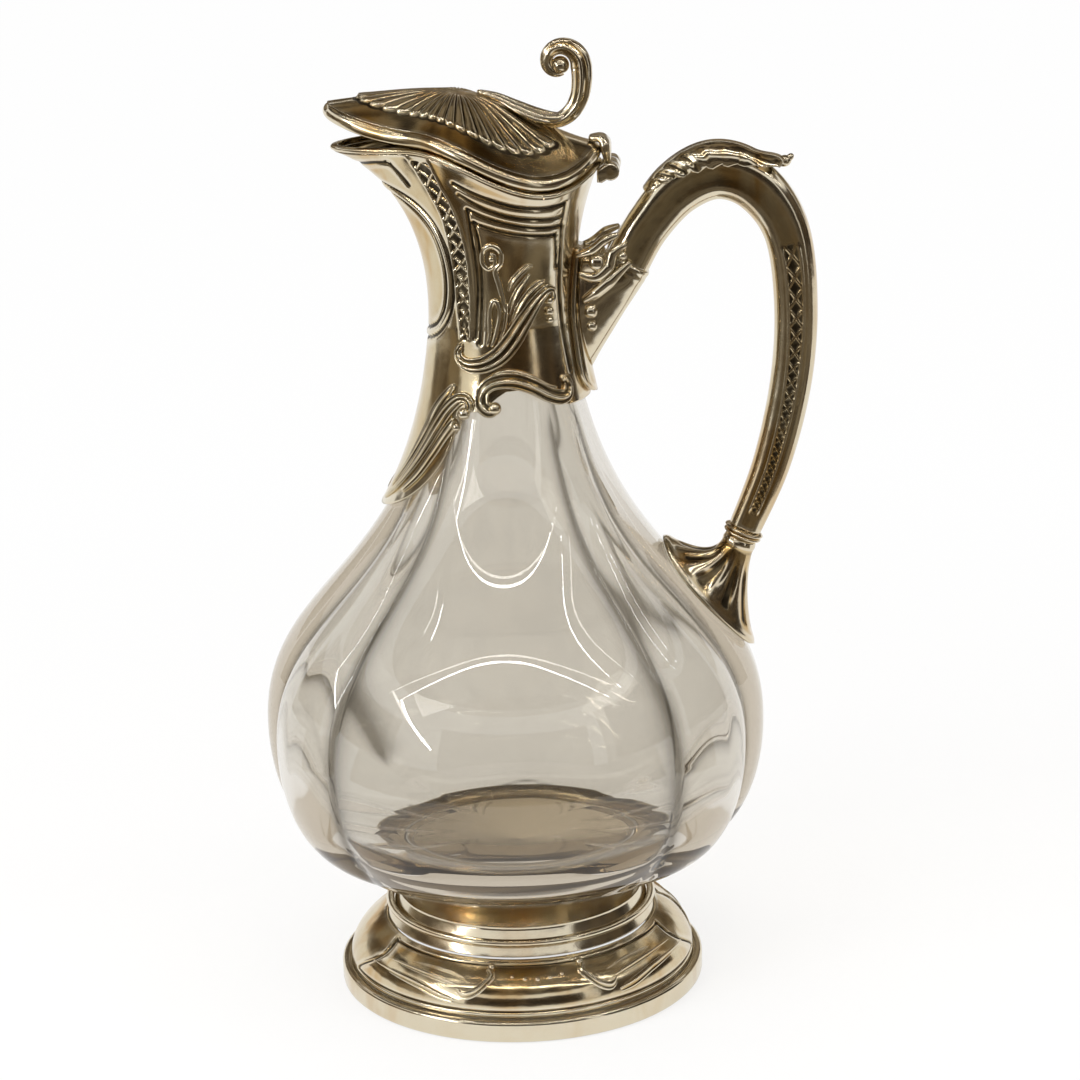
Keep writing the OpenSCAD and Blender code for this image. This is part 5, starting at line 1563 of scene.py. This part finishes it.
class JUG_OT_stage(bpy.types.Operator):
    """Pale floor, white world, two soft lamps, three narrow lamps that draw lines of light in the glass, dark cards
    for the metal to mirror, and the camera."""

    bl_idname = "jug.stage"
    bl_label = "Stage"

    def execute(self, context):
        look = context.scene.jug_studio
        self.floor(look)
        self.world()
        for name, place, size, share, colour in (
            ("key_lamp", (-0.9, -1.1, 1.3), (0.9, 0.6), 1.0, (1, 1, 1)),
            ("fill_lamp", (1.3, -0.7, 0.9), (0.7, 0.9), 0.5, (1.0, 0.95, 0.88)),
        ):
            area_lamp(name, place, (0, 0, 0.15), size, look.key * share, colour).visible_glossy = False
        tube_size = (3.2, 0.012)
        area_lamp("tube_near", (-0.05, -0.62, 1.12), (0, 0, 0.1), tube_size, look.key * 0.4)
        area_lamp("tube_far", (0.05, -0.30, 1.25), (0, 0, 0.1), tube_size, look.key * 0.4)
        area_lamp("strip_left", (-0.95, -0.75, 0.55), (0, 0, 0.15), (0.03, 0.8), look.key * 0.3)
        dark, brown, taupe = (0.025, 0.018, 0.011), (0.08, 0.058, 0.034), (0.25, 0.205, 0.14)
        wood, worn = (0.05, 0.037, 0.021), (0.16, 0.135, 0.095)
        card("table_card", (0.27, 0.002), (1.6, 0.002), -85, 85, wood, worn, 4.0)
        card("front_card", (1.6, 0.0), (1.6, 0.8), -34, 44, dark, brown)
        card("right_card", (1.5, 0.0), (1.5, 0.95), 52, 118, dark, brown, through=True)
        card("left_card", (1.5, 0.0), (1.5, 0.7), -118, -60, brown, taupe, through=True)
        card("back_card", (1.5, 0.32), (1.5, 1.0), 122, 238, brown, taupe, through=True)
        card("ceiling_card", (0.02, 1.6), (1.5, 1.15), 0, 360, dark, taupe, through=True)
        self.camera(context, look)
        return {"FINISHED"}

    def floor(self, look):
        """Round pale floor under the jug, which glows where a ray shows the background, more so away from the jug."""
        count, radius = 96, 4
        t = np.linspace(0, 1, 3)[1:, None] * radius
        a = np.radians(turn_steps(count))
        rings = np.stack([t * np.cos(a), t * np.sin(a), 0 * t * a], -1).reshape(-1, 3)
        k = np.arange(count) + 1
        after = np.roll(k, -1)
        inner = np.stack([0 * k, k, after], -1).tolist()
        outer = np.stack([k, k + count, after + count, after], -1).tolist()
        mesh = bpy.data.meshes.new("floor")
        mesh.from_pydata([(0, 0, 0), *rings.tolist()], [], inner + outer)
        thing = add_object("floor", mesh)
        thing.location.z = -0.0002
        material, tree, shader = new_material("pale_floor")
        shader.inputs["Base Color"].default_value = (*look.floor, 1)
        shader.inputs["Roughness"].default_value = 0.9
        shader.inputs["Specular IOR Level"].default_value = 0.1
        glow = tree.nodes.new("ShaderNodeEmission")
        reach = tree.nodes.new("ShaderNodeVectorMath")
        reach.operation = "LENGTH"
        tree.links.new(object_place(tree), reach.inputs[0])
        share = span(tree, reach.outputs["Value"], 0.1, 0.6, 0.72, 0.97)
        mix_shaders(tree, math_node(tree, "MULTIPLY", seen_ray(tree), share), shader, glow)
        mesh.materials.append(material)

    def world(self):
        """White world behind the jug, and a softer one for the light that it sheds."""
        world = bpy.data.worlds.new("studio")
        bpy.context.scene.world = world
        world.use_nodes = True
        tree = world.node_tree
        white = tree.nodes["Background"]
        white.inputs["Color"].default_value = (1, 1, 1, 1)
        soft = tree.nodes.new("ShaderNodeBackground")
        soft.inputs["Color"].default_value = (1.0, 0.98, 0.95, 1)
        soft.inputs["Strength"].default_value = 0.75
        mix_shaders(tree, seen_ray(tree), soft, white, "World Output")

    def camera(self, context, look):
        """Camera at the photograph's angle: pan, tilt and roll from the fitted view, turned by the azimuth."""
        pan, tilt, roll = np.radians((0.53574, 16.66932, -1.59801))
        f = np.array((np.cos(tilt) * np.sin(pan), np.cos(tilt) * np.cos(pan), -np.sin(tilt)))
        r = np.array((np.cos(pan), -np.sin(pan), 0.0))
        u = np.cross(r, f)
        right, up = np.cos(roll) * r + np.sin(roll) * u, np.cos(roll) * u - np.sin(roll) * r
        a = np.radians(look.azimuth)
        turn = np.array(((np.cos(a), -np.sin(a), 0), (np.sin(a), np.cos(a), 0), (0, 0, 1)))
        place = turn @ np.array((0.0, -look.distance, look.height))
        right, up, back = turn @ right, turn @ up, turn @ -f
        lens = bpy.data.cameras.new("camera")
        lens.lens, lens.sensor_width, lens.sensor_fit = look.lens, 36.0, "HORIZONTAL"
        lens.clip_start, lens.clip_end = 0.01, 50
        thing = add_object("camera", lens)
        columns = np.stack([right, up, back, place], 1)
        thing.matrix_world = Matrix([[*map(float, row)] for row in columns] + [[0, 0, 0, 1]])
        context.scene.camera = thing
        context.scene.view_settings.view_transform = "Standard"


class JUG_PT_panel(bpy.types.Panel):
    """Sidebar panel with every step."""

    bl_idname = "JUG_PT_panel"
    bl_label = "Claret Jug"
    bl_space_type = "VIEW_3D"
    bl_region_type = "UI"
    bl_category = "Claret Jug"

    def draw(self, context):
        for group in (context.scene.jug_glass, context.scene.jug_silver, context.scene.jug_studio):
            box = self.layout.box()
            for label in group.__annotations__:
                box.prop(group, label)
        for step in STEPS:
            self.layout.operator(step.bl_idname)


STEPS = (
    JUG_OT_stage, JUG_OT_glass, JUG_OT_neck, JUG_OT_ornaments, JUG_OT_handle, JUG_OT_lid, JUG_OT_foot,
    JUG_OT_fittings,
)
GROUPS = {"jug_glass": GlassSettings, "jug_silver": SilverSettings, "jug_studio": StudioSettings}


def register():
    """Registers the classes and their settings."""
    for group in (*GROUPS.values(), *STEPS, JUG_PT_panel):
        bpy.utils.register_class(group)
    for name, group in GROUPS.items():
        setattr(bpy.types.Scene, name, PointerProperty(type=group))


def unregister():
    """Removes the classes and their settings."""
    for name in GROUPS:
        delattr(bpy.types.Scene, name)
    for group in (JUG_PT_panel, *STEPS[::-1], *list(GROUPS.values())[::-1]):
        bpy.utils.unregister_class(group)


def main():
    """Registers the add-on and builds every piece in order."""
    register()
    for step in STEPS:
        family, name = step.bl_idname.split(".")
        getattr(getattr(bpy.ops, family), name)()


if __name__ == "__main__":
    main()
